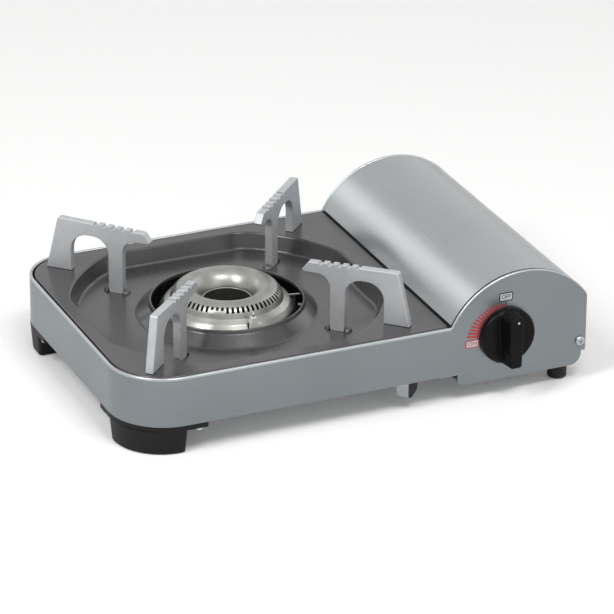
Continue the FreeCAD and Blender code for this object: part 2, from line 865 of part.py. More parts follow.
def burner_cap():
    """The domed ring with its slots. Its section is a sheet that follows the dome."""
    z = rim_height
    t = cap_wall
    outer = [(cap_lip, z + cap_lip_z), (cap_slot_out, z + cap_slot_out_z), (cap_slot_in, z + cap_slot_in_z)]
    crest = (cap_crest, z + cap_crest_z)
    inner = [(24.6, z + 6.6), (20.4, z + 2.4), (cap_hole, z + cap_hole_z)]

    def section(shift):
        points = [V(r, 0, h) for r, h in outer] + [V(crest[0], 0, crest[1])] + [V(r, 0, h) for r, h in inner]
        low = [V(cap_lip - shift, 0, z + cap_lip_z)]
        moved = []
        for i, p in enumerate(points):
            a = points[max(i - 1, 0)]
            b = points[min(i + 1, len(points) - 1)]
            along = b - a
            along.normalize()
            normal = V(-along.z, 0, along.x)
            moved.append(p + normal * shift)
        if shift:
            moved[0] = low[0]
            moved[-1] = V(cap_hole + shift, 0, z + cap_hole_z)
        return moved

    out = section(0)
    inn = section(t)
    curve_out = Part.BSplineCurve()
    curve_out.interpolate(out[1:])
    curve_in = Part.BSplineCurve()
    curve_in.interpolate(inn[1:])
    edges = [
        Part.LineSegment(out[0], out[1]).toShape(),
        curve_out.toShape(),
        Part.LineSegment(out[-1], inn[-1]).toShape(),
        curve_in.toShape(),
        Part.LineSegment(inn[1], inn[0]).toShape(),
        Part.LineSegment(inn[0], out[0]).toShape(),
    ]
    wire = Part.Wire(Part.__sortEdges__(edges))
    ring = Part.Face(wire).revolve(V(0, 0, 0), up_axis, 360)
    ring.translate(V(burner_x, burner_y, 0))
    slots = []
    for i in range(slot_count):
        short = i % slot_group < slots_short
        start = cap_slot_in + slot_margin
        end = cap_slot_out - (slot_short if short else slot_margin)
        blade = box(start, end, -slot_width / 2, slot_width / 2, z - 1, z + 12)
        turn = slot_turn + (i - (slots_short - 1) / 2) * 360.0 / slot_count
        blade = blade.rotated(V(0, 0, 0), up_axis, turn)
        blade.translate(V(burner_x, burner_y, 0))
        slots.append(blade)
    return ring.cut(slots)


def burner_bowl():
    """The drum under the cap: a cup with a flared outer skirt."""
    z = rim_height
    wall = bowl_wall
    floor = bowl_floor
    bowl = about_burner([
        (bowl_radius - wall, z + cap_lip_z, 0),
        (cap_lip + 0.2, z + cap_lip_z, 0),
        (bowl_skirt - 5.4, z - 3.6, 3.0),
        (bowl_skirt - 2.2, z - 7.8, 5.0),
        (bowl_skirt, z + bowl_skirt_z, 0),
        (bowl_skirt - wall, z + bowl_skirt_z - 0.2, 0),
        (bowl_skirt - 4.0, z - 8.0, 4.0),
        (bowl_radius + 1.6, z - 4.4, 2.0),
        (bowl_radius, z - 8.0, 0),
        (bowl_radius, floor, 3.0),
        (cap_hole - 0.2, floor, 0),
        (cap_hole - 0.2, floor + wall, 0),
        (bowl_radius - wall, floor + wall, 2.0),
    ])
    left = burner_x - block_width / 2
    notch = box(left - electrode_gap, left + block_shoulder + electrode_gap, burner_y - 60,
                burner_y - bowl_radius - 3.2, z - 20, z - 3)
    start = V(burner_x - tube_x * 20, burner_y - tube_y * 20, tube_z)
    port = rod(start, V(-tube_x, -tube_y, 0), tube_radius, 40)
    return bowl.cut([notch, port])


def burner_throat():
    """The sleeve that carries air up the middle of the burner."""
    z = rim_height
    outer = cap_hole - 0.2
    return about_burner([
        (throat_inner, bowl_floor - bracket_sheet, 0),
        (outer, bowl_floor - bracket_sheet, 0),
        (outer, z + cap_hole_z - 0.2, 0),
        (throat_inner, z + cap_hole_z - 0.2, 0.5),
    ])


def burner_bracket():
    """The strap that holds the burner off the base plate."""
    high = bowl_floor
    low = base_top
    t = bracket_sheet
    profile = [
        (-bracket_reach - bracket_foot, low, 0), (-bracket_reach, low, 0), (-bracket_reach, high - t, 0),
        (bracket_reach, high - t, 0), (bracket_reach, low, 0), (bracket_reach + bracket_foot, low, 0),
        (bracket_reach + bracket_foot, low + t, 0), (bracket_reach + t, low + t, 0),
        (bracket_reach + t, high, 0), (-bracket_reach - t, high, 0), (-bracket_reach - t, low + t, 0),
        (-bracket_reach - bracket_foot, low + t, 0),
    ]
    strap = end_prism(profile, -bracket_width / 2, bracket_width / 2)
    disc = rod(V(0, 0, high - t), up_axis, 24.0, t)
    strap = join([strap, disc]).cut(rod(V(0, 0, low), up_axis, cap_hole - 0.2, 10))
    strap = strap.cut([rod(V(x, 0, low - 1), up_axis, shank_radius, 10) for x in bracket_screw_places()])
    strap = strap.rotated(V(0, 0, 0), up_axis, 60)
    strap.translate(V(burner_x, burner_y, 0))
    return strap


def bracket_screw_places():
    reach = bracket_reach + bracket_foot * 0.6
    return [-reach, reach]


def bracket_screw_spots():
    turn = math.radians(60)
    return [(burner_x + x * math.cos(turn), burner_y + x * math.sin(turn)) for x in bracket_screw_places()]


def burner_screws():
    top = base_top + bracket_sheet
    down = V(0, 0, -1)
    return Part.makeCompound([screw(V(x, y, top), down, 5.0) for x, y in bracket_screw_spots()])


def burner_stay():
    """The small strip over the gap between the drum and the collar."""
    z = rim_height + stay_z
    length = stay_reach - 43.0
    strip = box(43.0, 43.0 + length, -stay_width / 2, stay_width / 2, z, z + 0.8)
    leg = box(stay_reach - 4.2, stay_reach - 3.4, -stay_width / 2, stay_width / 2, z - 7.0, z)
    stay = join([strip, leg]).rotated(V(0, 0, 0), up_axis, stay_turn)
    stay.translate(V(burner_x, burner_y, 0))
    return stay.cut(burner_bowl())


# Gas way

def tube_point(distance, across=0.0, z=tube_z):
    """A point on the mixing tube's line, distance out from the burner axis."""
    x = burner_x - tube_x * distance - tube_y * across
    return V(x, burner_y - tube_y * distance + tube_x * across, z)


def tube_mouth():
    return bowl_radius + tube_length - 8.0


def mixing_tube():
    inward = V(tube_x, tube_y, 0)
    mouth = tube_mouth()
    run = mouth - trumpet_length - bowl_radius + 1.5
    straight = rod(tube_point(mouth - trumpet_length), inward, tube_radius, run)
    bore = rod(tube_point(mouth - trumpet_length + 1), inward, tube_radius - tube_wall, run + 3)
    bell = cone(tube_point(mouth), inward, trumpet_radius, tube_radius, trumpet_length)
    bell_bore = cone(tube_point(mouth + 0.01), inward, trumpet_radius - tube_wall, tube_radius - tube_wall,
                     trumpet_length + 0.02)
    tube = straight.fuse(bell).cut([bore, bell_bore])
    return tube.cut(rod(V(burner_x, burner_y, bowl_floor), up_axis, bowl_radius - bowl_wall, 40))


def nozzle_tail():
    return tube_mouth() + nozzle_gap + nozzle_length


def gas_nozzle():
    inward = V(tube_x, tube_y, 0)
    tail = nozzle_tail()
    body = rod(tube_point(tail), inward, nozzle_radius, nozzle_length - nozzle_tip)
    tip = cone(tube_point(tail - nozzle_length + nozzle_tip), inward, nozzle_radius, 1.6, nozzle_tip)
    nozzle = body.fuse(tip).removeSplitter()
    return nozzle.cut(rod(tube_point(tail + 1), inward, 0.9, nozzle_length + 2))


def nozzle_bracket():
    """The bent plate that holds the nozzle in front of the mixing tube."""
    at = nozzle_tail() - nozzle_length / 2
    half = holder_width / 2
    plate = box(at, at + holder_sheet, -half, half, base_top, holder_top)
    foot = box(at - holder_foot, at + holder_sheet, -half, half, base_top, base_top + holder_sheet)
    bracket = join([plate, foot])
    bracket = bracket.cut(rod(V(at - 5, 0, tube_z), V(1, 0, 0), nozzle_radius, 12))
    turn = math.degrees(math.atan2(-tube_y, -tube_x))
    bracket = bracket.rotated(V(0, 0, 0), up_axis, turn)
    bracket.translate(V(burner_x, burner_y, 0))
    return screw_holes(bracket, holder_screw_spots(), base_height - 1, base_top + 4)


def holder_screw_spots():
    at = nozzle_tail() - nozzle_length / 2 - holder_foot * 0.6
    return [(p.x, p.y) for p in (tube_point(at, -8.0), tube_point(at, 8.0))]


def pipe_start():
    return V(arch_x - governor_half, governor_y + governor_length / 2, tube_z)


def gas_pipe():
    end = tube_point(nozzle_tail())
    start = pipe_start()
    run = (end.y - start.y) / tube_y
    corner = V(end.x - tube_x * run, start.y, tube_z)
    return pipe([start, corner, end], [pipe_bend], pipe_radius)


def pipe_nuts():
    """A hexagon nut at each end of the gas pipe."""
    def nut(place, axis):
        side = V(0, 0, 1)
        other = axis.cross(side)
        points = []
        for i in range(7):
            a = math.radians(60 * i)
            points.append(place + side * (nut_radius * math.cos(a)) + other * (nut_radius * math.sin(a)))
        body = Part.Face(Part.makePolygon(points)).extrude(axis * nut_length)
        return body.cut(rod(place - axis, axis, pipe_radius, nut_length + 2))

    start = pipe_start()
    end = tube_point(nozzle_tail())
    return Part.makeCompound([nut(start, V(-1, 0, 0)), nut(end, V(-tube_x, -tube_y, 0))])


# Cartridge bay

def cradle_tongue_z():
    low = can_z - (can_radius + can_fit) * math.sin(math.radians(180 - cradle_left))
    return low - cradle_wall


def heat_panel():
    """The aluminium cradle under the cartridge, with a tongue that reaches the burner."""
    inner = can_radius + can_fit
    outer = inner + cradle_wall
    y0 = cradle_start
    ring = rod(V(arch_x, y0, can_z), front_axis, outer, cradle_length)
    ring = ring.cut(rod(V(arch_x, y0 - 1, can_z), front_axis, inner, cradle_length + 2))
    reach = outer + 5
    a0 = math.radians(-cradle_left)
    a1 = math.radians(-cradle_right)
    x0, x1 = arch_x + reach * math.cos(a0), arch_x + reach * math.cos(a1)
    wedge = [(arch_x, can_z, 0), (x0, can_z + reach * math.sin(a0), 0), (x0, can_z - reach, 0),
             (x1, can_z - reach, 0), (x1, can_z + reach * math.sin(a1), 0)]
    cradle = ring.common(end_prism(wedge, y0 - 1, y0 + cradle_length + 1))
    z = cradle_tongue_z()
    edge_x = arch_x + (inner + cradle_wall / 2) * math.cos(a0)
    left = burner_x + bowl_radius + tongue_end_gap
    tongue = box(left, edge_x, tongue_start, tongue_start + tongue_length, z, z + cradle_wall)
    pad = box(left, left + cradle_wall, tongue_start, tongue_start + tongue_length, z, z + 9)
    return join([cradle, tongue, pad])


def governor_body():
    """The die-cast block that reduces the gas pressure, with the valve's bore through its front."""
    x0, x1 = arch_x - governor_half, arch_x + governor_half
    z0, z1 = can_z - governor_half_z - 2, can_z + governor_half_z
    block = end_prism([(x0, z0, 4), (x1, z0, 4), (x1, z1, 4), (x0, z1, 4)], governor_y, governor_back)
    port = rod(pipe_start(), V(1, 0, 0), nut_radius, 6)
    neck = rod(V(arch_x, diaphragm_y + 1, z1 - 1), up_axis, diaphragm_neck, diaphragm_base() - z1 - 2)
    pan = rod(V(arch_x, diaphragm_y, diaphragm_base() - 3), up_axis, diaphragm_radius, 3)
    arm = box(x0 - 11, x0 + 4, governor_y + 3.7, governor_back - 4, knob_z - 5.5, knob_z + 6)
    body = join([block, port, neck, pan, arm])
    body = body.cut(rod(V(knob_x, governor_y - 1, knob_z), front_axis, spindle_radius + spindle_fit, 9))
    return body.cut(rod(pipe_start(), V(1, 0, 0), pipe_radius, 4)).cut(governor_screw_rods())


def diaphragm_base():
    return can_z + governor_half_z + 9


def diaphragm_cap():
    low = diaphragm_base()
    spot = V(arch_x, diaphragm_y, low)
    cap = join([rod(spot, up_axis, diaphragm_radius, 2.0), rod(spot, up_axis, 5.8, 6.0)])
    cap = softened(cap, 0.8, lambda e: e.BoundBox.ZMin > low + 5.9)
    return cap.cut(governor_screw_rods())


def governor_screw_places():
    turns = [math.radians(45 + 90 * i) for i in range(4)]
    r = diaphragm_screw_r
    return [V(arch_x + r * math.cos(a), diaphragm_y + r * math.sin(a), diaphragm_base() + 2) for a in turns]


def governor_screw_rods():
    return [rod(p - V(0, 0, 4), up_axis, diaphragm_screw, 5) for p in governor_screw_places()]


def governor_screws():
    down = V(0, 0, -1)
    screws = [screw(p, down, 4.0, diaphragm_screw, diaphragm_screw_head) for p in governor_screw_places()]
    return Part.makeCompound(screws)


def governor_bracket():
    """The upright plate from the tray that carries the governor."""
    y0 = governor_y + 4
    x0 = arch_x - governor_bracket_width / 2
    x1 = arch_x + governor_bracket_width / 2
    z1 = can_z - governor_half_z - 2
    plate = box(x0, x1, y0, y0 + yoke_sheet, tray_floor, z1)
    foot = box(x0, x1, y0, y0 + 14, tray_floor, tray_floor + yoke_sheet)
    shelf = box(x0, x1, y0, y0 + 9, z1 - yoke_sheet, z1)
    return join([plate, foot, shelf])


def valve_bonnet():
    """The bush that guides the spindle behind the panel."""
    bush = rod(V(knob_x, sheet, knob_z), front_axis, bonnet_radius, bonnet_length)
    nose = rod(V(knob_x, rim_proud, knob_z), front_axis, panel_hole, sheet)
    bush = join([bush, nose])
    return bush.cut(rod(V(knob_x, -1, knob_z), front_axis, spindle_radius + spindle_fit, 8))


def valve_spindle():
    front = -knob_bore_deep
    end = governor_y + 7.0
    spindle = rod(V(knob_x, front, knob_z), front_axis, spindle_radius, end - front)
    key = box(knob_x + spindle_radius - 1.2, knob_x + 10, front - 1, -knob_clear, knob_z - 10, knob_z + 10)
    return spindle.cut(key)


def igniter_cam():
    """The rising cam on the spindle that pushes the igniter. Its left side is its low side at OFF."""
    steps = 8
    turn = math.radians(knob_turn)
    y0 = sheet + bonnet_length + cam_gap

    def rim(share):
        radius = cam_small + cam_lift * share
        angle = math.pi - turn * share
        return V(knob_x + radius * math.cos(angle), y0, knob_z + radius * math.sin(angle))

    rise = Part.BSplineCurve()
    rise.interpolate([rim(i / steps) for i in range(steps + 1)])
    top = rim(1.0)
    low = rim(0.0)
    small = V(knob_x + cam_small, y0, knob_z)
    under = V(knob_x, y0, knob_z - cam_small)
    edges = [rise.toShape(), Part.LineSegment(top, small).toShape(), Part.Arc(small, under, low).toShape()]
    cam = Part.Face(Part.Wire(Part.__sortEdges__(edges))).extrude(V(0, cam_length, 0))
    return cam.cut(rod(V(knob_x, 0, knob_z), front_axis, spindle_radius, 20))


def cartridge_socket():
    """The brass inlet that the cartridge's stem enters, through the yoke."""
    spot = V(arch_x, governor_back, can_z)
    body = rod(spot, front_axis, socket_radius, socket_length - 1)
    bore = rod(spot + V(0, 2, 0), front_axis, socket_bore, socket_length)
    seat = rod(spot + V(0, socket_length - 3, 0), front_axis, seal_radius, 3)
    return body.cut([bore, seat])


def inlet_seal():
    spot = V(arch_x, governor_back + socket_length - 3, can_z)
    return rod(spot, front_axis, seal_radius, 1.8).cut(rod(spot - front_axis, front_axis, socket_bore, 5))


def magnet_yoke():
    """The steel plate behind the magnets."""
    x0, x1 = arch_x - yoke_half, arch_x + yoke_half
    low, high = can_z - yoke_half_z, can_z + yoke_half_z
    plate = end_prism([(x0, low, 4), (x1, low, 4), (x1, high, 4), (x0, high, 4)], governor_back, yoke_back)
    half = key_width / 2 + key_thick
    tongue = box(arch_x - half, arch_x + half, governor_back, yoke_back, high - 4, can_z + key_rise)
    plate = join([plate, tongue])
    return plate.cut(rod(V(arch_x, governor_back - 1, can_z), front_axis, socket_radius, 5))


def magnets():
    blocks = []
    for x in (arch_x - magnet_offset, arch_x + magnet_offset):
        half = magnet_size / 2
        block = box(x - half, x + half, yoke_back, can_front, can_z - magnet_size, can_z + magnet_size)
        blocks.append(softened(block, 0.8, lambda e: e.BoundBox.YMin > can_front - 0.01))
    return Part.makeCompound(blocks)


def alignment_key():
    """The tab that enters the notch in the cartridge's rim, so that it can only sit one way round."""
    x0, x1 = arch_x - key_width / 2, arch_x + key_width / 2
    z = can_z + key_rise
    low = can_z + release_ring_outer + release_play
    back = box(x0, x1, yoke_back, yoke_back + key_thick, low, z)
    nib = box(x0, x1, yoke_back, can_front + key_reach, z - key_thick, z)
    return join([back, nib])


def release_ring():
    """The ring round the inlet that pushes an over-pressure cartridge off the magnets."""
    y0 = yoke_back + release_back
    spot = V(arch_x, y0, can_z)
    ring = rod(spot, front_axis, release_ring_outer, release_ring_length)
    return ring.cut(rod(spot - front_axis, front_axis, socket_radius + spindle_fit, 5))


# Igniter

def igniter_y():
    """Middle of the cam, where the plunger and the igniter case lie."""
    return sheet + bonnet_length + cam_gap + cam_length / 2


def plunger_tip():
    return knob_x - cam_small - plunger_gap


def igniter_case():
    x1 = plunger_tip() - plunger_out
    x0 = x1 - case_length
    y = igniter_y()
    half = case_side / 2
    low = y - min(half, y - sheet - 0.3)
    case = box(x0, x1, low, governor_y + 3.7, knob_z - half, knob_z + half)
    case = softened(case, 0.8, lambda e: abs(e.BoundBox.XMax - e.BoundBox.XMin) > case_length - 1)
    slot = plunger_side / 2 + plunger_fit
    return case.cut(box(x1 - cam_lift - 4, x1 + 1, y - slot, y + slot, knob_z - slot, knob_z + slot))


def igniter_plunger():
    x1 = plunger_tip()
    y = igniter_y()
    half = plunger_side / 2
    tip = 1.5
    bar = box(x1 - plunger_out - 3, x1 - tip, y - half, y + half, knob_z - half, knob_z + half)
    nose = rod(V(x1 - tip, y - half, knob_z), front_axis, tip, plunger_side)
    return join([bar, nose])


def lead_route():
    """The igniter lead, from the case through the partition to the electrode's foot."""
    start = V(plunger_tip() - plunger_out - case_length, igniter_y(), knob_z)
    block_y = burner_y - electrode_r
    return [
        start,
        V(start.x - 9, start.y, knob_z),
        V(partition_x - 14, 11.0, 42.0),
        V(partition_x - 40, 17.0, 33.0),
        V(partition_x - 72, 30.0, 29.5),
        V(burner_x + 28, 47.0, 28.5),
        V(burner_x + 6, block_y - 4.0, 27.0),
        V(burner_x, block_y, 30.5),
        V(burner_x, block_y, rim_height + block_bottom),
    ]


def route_bends(points):
    """For each corner of a route, the largest arc that its two runs allow."""
    bends = []
    for i in range(1, len(points) - 1):
        back = points[i - 1] - points[i]
        ahead = points[i + 1] - points[i]
        turn = math.pi - back.getAngle(ahead)
        bends.append(0.45 * min(back.Length, ahead.Length) / math.tan(turn / 2))
    return bends


def igniter_lead():
    points = lead_route()
    bends = route_bends(points)
    print("igniter lead bends, mm:", [round(b, 1) for b in bends])
    return pipe(points, bends, lead_radius)


def electrode_insulator():
    """The white ceramic block of the spark electrode."""
    y = burner_y - electrode_r
    z = rim_height
    half = block_width / 2
    narrow = block_narrow / 2
    wide = block_shoulder - half
    profile = [(burner_x - half, z + block_bottom, 0), (burner_x + half, z + block_bottom, 0),
               (burner_x + half, z + block_shoulder_z - 6, 0), (burner_x + wide, z + block_shoulder_z - 6, 0),
               (burner_x + wide, z + block_shoulder_z, 0.8), (burner_x + half, z + block_shoulder_z, 0.8),
               (burner_x + narrow, z + block_top, 0.9), (burner_x - narrow, z + block_top, 0.9),
               (burner_x - half, z + block_shoulder_z, 0)]
    block = end_prism(profile, y - block_depth / 2, y + block_depth / 2)
    return block.cut(rod(V(burner_x, y, z + block_bottom - 1), up_axis, wire_radius, 60))


def electrode_wire():
    y = burner_y - electrode_r
    z = rim_height
    top = z + wire_up
    foot = V(burner_x, y, z + block_bottom + 2)
    return pipe([foot, V(burner_x, y, top - 1.5), V(burner_x, burner_y - wire_in, top)], [1.4], wire_radius)


def electrode_clip():
    """The bent plate that holds the ceramic block to the bowl."""
    y1 = burner_y - bowl_radius
    y0 = burner_y - electrode_r + block_depth / 2
    z0 = rim_height + block_bottom + 2
    plate = box(burner_x - 7, burner_x + 7, y0, y0 + clip_sheet, z0, z0 + 8)
    shelf = box(burner_x - 7, burner_x + 7, y0, y1 + 3, z0, z0 + clip_sheet)
    clip = join([plate, shelf])
    return clip.cut(rod(V(burner_x, burner_y, z0 - 5), up_axis, bowl_radius, 30))


# Knob

def control_knob():
    """A disc with a high grip across it and a tail that points down at OFF."""
    back = -knob_clear
    disc = rod(V(knob_x, back - knob_flange, knob_z), front_axis, knob_radius, knob_flange)
    disc = softened(disc, knob_round * 2, lambda e: abs(e.BoundBox.YMax - (back - knob_flange)) < 0.01)
    z0 = knob_z - grip_down
    z1 = knob_z + grip_up
    front = back - knob_depth
    low = grip_half + 1.6
    base = rounded_wire([(knob_x - grip_flare, z1, 7.0), (knob_x + grip_flare, z1, 7.0),
                         (knob_x + low, z0, 4.0), (knob_x - low, z0, 4.0)], upright(back - 1))
    z0 += grip_lean
    z1 -= grip_lean
    low = grip_half - 0.6
    crest = rounded_wire([(knob_x - grip_half, z1, 1.5), (knob_x + grip_half, z1, 1.5),
                          (knob_x + low, z0, 2.0), (knob_x - low, z0, 2.0)], upright(front))
    grip = Part.makeLoft([base, crest], True, True)
    grip = softened(grip, knob_round, lambda e: e.BoundBox.YMax < front + 0.01)
    knob = join([disc, grip])
    return knob.cut(valve_spindle())


# Lid

def cartridge_lid():
    """A half-round shell with turned-in ends. Its lower right edge hangs on the hinge screws."""
    y0, y1 = lid_front, depth - lid_front
    inside = bay_prism(lid_flush + sheet, lid_right_edge - 1, y0 - 1, y1 + 1)
    skin = bay_prism(lid_flush, lid_right_edge, y0, y1).cut(inside)
    rib = bay_prism(lid_flush, lid_right_edge, y0, y0 + sheet)
    rib = rib.cut(bay_prism(lid_flush + lid_return, lid_right_edge - 1, y0 - 1, y0 + sheet + 1))
    right = width - lid_flush
    ear = end_prism([(right - ear_reach, lid_right_edge, 3.0), (right, lid_right_edge, 0),
                     (right, ear_top, 0),
                     (right - ear_reach, ear_top, 3.0)], y0, y0 + sheet)
    lid = join([skin, rib, ear, mirrored_y(rib), mirrored_y(ear)])
    below = box(arch_x - arch_radius - 5, arch_x, y0 - 1, y1 + 1, 0, lid_left_edge)
    lid = lid.cut(below)
    return lid.cut(rod(V(hinge_x, 0, hinge_z), front_axis, hinge_radius + hinge_fit, depth))


def lid_hinge_screws():
    reach = lid_front + sheet + 1.5
    front = screw(V(hinge_x, 0, hinge_z), front_axis, reach, hinge_radius)
    return Part.makeCompound([front, mirrored_y(front)])


# Feet and lug

def corner_foot(bend):
    """Black moulded foot under a left corner of the casing of radius bend, drawn for the front corner."""
    high = base_height
    low = high - foot_flange_thick
    reach = foot_flange_reach
    ear = foot_ear
    flange = plan_prism([(0, 0, bend), (reach, 0, 2), (reach, ear, 4), (foot_block, foot_block, 6),
                         (ear, reach, 4), (0, reach, 2)], low, high)
    block_bend = bend - foot_bend_less
    top = rounded_wire([(foot_inset, foot_inset, block_bend), (foot_block, foot_inset, foot_round),
                        (foot_block, foot_block, foot_round), (foot_inset, foot_block, foot_round)],
                       flat(low))
    side = foot_inset + foot_taper
    end = foot_block - foot_taper
    bottom = rounded_wire([(side, side, block_bend - foot_taper), (end, side, foot_round),
                           (end, end, foot_round), (side, end, foot_round)], flat(0))
    block = Part.makeLoft([bottom, top], True, True)
    block = softened(block, 1.0, lambda e: e.BoundBox.ZMax < 0.01)
    foot = join([flange, block])
    inner = foot_inset + foot_taper + foot_hollow
    far = foot_block - foot_taper - foot_hollow
    inner_bend = block_bend - foot_taper - foot_hollow - 2
    hollow = plan_prism([(inner, inner, inner_bend), (far, inner, 2), (far, far, 2), (inner, far, 2)],
                        -1, foot_hollow_deep)
    middle = (inner + far) / 2
    ribs = [box(middle, middle + foot_rib, inner, far, 0, foot_hollow_deep),
            box(inner, far, middle, middle + foot_rib, 0, foot_hollow_deep)]
    foot = foot.cut(hollow.cut(ribs))
    return foot.cut([rod(V(x, y, 0), up_axis, shank_radius, high + 1) for x, y in foot_screw_spots()])


def foot_screw_spots():
    return [(foot_screw_place, foot_screw_in), (foot_screw_in, foot_screw_place)]


def round_foot():
    x = width - round_foot_in_x
    high = skirt_bottom + tray_inset
    foot = rod(V(x, round_foot_in_y, 0), up_axis, round_foot_radius, high)
    foot = softened(foot, 1.0, lambda e: e.BoundBox.ZMax < 0.01)
    foot = foot.cut(rod(V(x, round_foot_in_y, -1), up_axis, head_radius + 0.3, 6.0))
    return foot.cut(rod(V(x, round_foot_in_y, 0), up_axis, shank_radius, high + 1))


def right_feet():
    return Part.makeCompound([round_foot(), mirrored_y(round_foot())])


def foot_screws():
    low = base_height - foot_flange_thick
    screws = [screw(V(x, y, low), up_axis, foot_flange_thick + 4) for x, y in foot_screw_spots()]
    spot = V(width - round_foot_in_x, round_foot_in_y, 5.0)
    screws.append(screw(spot, up_axis, skirt_bottom + tray_inset - 1.5))
    return Part.makeCompound(screws + [mirrored_y(s) for s in screws])


def tray_screw_spots():
    x = width - round_foot_in_x
    return [(x, round_foot_in_y), (x, depth - round_foot_in_y)]


def base_screw_spots():
    spots = tray_flange_spots()
    for x, y in foot_screw_spots():
        spots += [(x, y), (x, depth - y)]
    return spots + bracket_screw_spots() + holder_screw_spots()


def base_tab():
    """A small bent lug that hangs under the front edge: a foot on the base and a slanting wing."""
    high = base_height
    wing = box(0, lug_wing, -lug_sheet, 0, lug_bottom, high)
    wing = softened(wing, 1.6, lambda e: e.BoundBox.XMin > lug_wing - 0.01
                                         and e.BoundBox.ZMax < lug_bottom + 0.01)
    wing = wing.rotated(V(0, 0, 0), up_axis, lug_wing_turn)
    wing.translate(V(lug_fold, lug_front, 0))
    x0 = lug_fold - lug_wing * 0.6
    foot = box(x0, lug_fold + pad_width, lug_front + 0.5, lug_front + lug_foot_depth, high - lug_sheet, high)
    return join([wing, foot])


def tab_pad():
    """The dark rounded pad beside the wing."""
    x0, x1 = lug_fold, lug_fold + pad_width
    high = base_height - lug_sheet
    low = pad_bottom
    outline = [(x0, high, 0), (x0, low + 0.7, 0.4), (x0 + pad_width * 0.3, low, 1.5),
               (x1 - 0.5, low + 6, 5.0),
               (x1, high, 0)]
    pad = end_prism(outline, lug_front, lug_front + pad_thick)
    return pad.cut(base_tab())


# All pieces

def pieces():
    made = {
        "body_shell": body_shell(),
        "base_plate": screw_holes(base_plate(), base_screw_spots(), base_height - 1, base_top + 1),
        "cartridge_tray": screw_holes(cartridge_tray(),
                                      tray_flange_spots() + tray_screw_spots(), 0, base_top),
        "partition_plate": screw_holes(partition_plate(), tray_flange_spots(), base_height, base_top + 3),
        "plate_rests": plate_rests(),
        "base_screws": base_screws(),
        "top_plate": top_plate(),
        "support_screws": support_screws(),
        "burner_cap": burner_cap(),
        "burner_bowl": burner_bowl(),
        "burner_throat": burner_throat(),
        "burner_bracket": burner_bracket(),
        "burner_screws": burner_screws(),
        "burner_stay": burner_stay(),
        "mixing_tube": mixing_tube(),
        "gas_nozzle": gas_nozzle(),
        "nozzle_bracket": nozzle_bracket(),
        "gas_pipe": gas_pipe(),
        "pipe_nuts": pipe_nuts(),
        "heat_panel": heat_panel(),
        "governor_body": governor_body(),
        "diaphragm_cap": diaphragm_cap(),
        "governor_screws": governor_screws(),
        "governor_bracket": governor_bracket(),
        "valve_bonnet": valve_bonnet(),
        "valve_spindle": valve_spindle(),
        "igniter_cam": igniter_cam(),
        "cartridge_socket": cartridge_socket(),
        "inlet_seal": inlet_seal(),
        "magnet_yoke": magnet_yoke(),
        "magnets": magnets(),
        "alignment_key": alignment_key(),
        "release_ring": release_ring(),
        "igniter_case": igniter_case(),
        "igniter_plunger": igniter_plunger(),
        "igniter_lead": igniter_lead(),
        "electrode_insulator": electrode_insulator(),
        "electrode_wire": electrode_wire(),
        "electrode_clip": electrode_clip(),
        "control_knob": control_knob(),
        "cartridge_lid": cartridge_lid(),
        "lid_hinge_screws": lid_hinge_screws(),
        "front_left_foot": corner_foot(corner_radius),
        "rear_left_foot": mirrored_y(corner_foot(rear_corner_radius)),
        "right_feet": right_feet(),
        "foot_screws": foot_screws(),
        "base_tab": base_tab(),
        "tab_pad": tab_pad(),
    }
    for name, turn in support_spots().items():
        made["pan_support_" + name] = pan_support(turn)
    return made


def main():
    os.makedirs("parts", exist_ok=True)
    for name, shape in pieces().items():
        shape = place(shape)
        solids = len(shape.Solids)
        note = "" if shape.isValid() and solids else "  CHECK"
        print(f"{name:26s} solids {solids:2d}  volume {shape.Volume / 1000:9.3f} cm3{note}")
        shape.exportStep(f"parts/{name}.step")


main()
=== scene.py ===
import json
import math

import bmesh
import bpy
from mathutils import Matrix, Vector
from mathutils.bvhtree import BVHTree


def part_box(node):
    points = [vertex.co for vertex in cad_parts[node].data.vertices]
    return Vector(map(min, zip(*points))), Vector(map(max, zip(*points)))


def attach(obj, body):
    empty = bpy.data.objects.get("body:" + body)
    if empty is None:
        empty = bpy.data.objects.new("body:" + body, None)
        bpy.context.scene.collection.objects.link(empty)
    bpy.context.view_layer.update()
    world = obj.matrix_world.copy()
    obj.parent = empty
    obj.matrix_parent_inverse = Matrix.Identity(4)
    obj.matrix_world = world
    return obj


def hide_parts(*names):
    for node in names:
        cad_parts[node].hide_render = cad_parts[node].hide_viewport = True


mm = 0.001  # the scene is in metres, the sizes below in millimetres
noiseLow = 0.3   # most of a noise texture's values lie between these two
noiseHigh = 0.7

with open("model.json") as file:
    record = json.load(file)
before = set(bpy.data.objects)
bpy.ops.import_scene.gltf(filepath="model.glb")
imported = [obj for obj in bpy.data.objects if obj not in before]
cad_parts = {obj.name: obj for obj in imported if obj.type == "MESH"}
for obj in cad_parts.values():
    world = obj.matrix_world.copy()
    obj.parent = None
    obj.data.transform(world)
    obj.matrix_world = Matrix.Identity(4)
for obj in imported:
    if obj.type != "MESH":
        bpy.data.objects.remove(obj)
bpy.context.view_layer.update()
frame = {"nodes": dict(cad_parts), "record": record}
nodes = frame["nodes"]
print("frame loaded:", len(nodes), "nodes")


def hexColour(text):
    # an sRGB hex colour as the linear colour a shader wants
    linear = []
    for start in (0, 2, 4):
        part = int(text[start:start + 2], 16) / 255
        linear.append(part / 12.92 if part <= 0.04045 else ((part + 0.055) / 1.055) ** 2.4)
    return (*linear, 1.0)


def addNode(tree, kind, settings=None, values=None, links=None):
    node = tree.nodes.new(kind)
    for name, choice in (settings or {}).items():
        setattr(node, name, choice)
    for name, value in (values or {}).items():
        node.inputs[name].default_value = value
    for name, source in (links or {}).items():
        tree.links.new(source, node.inputs[name])
    return node


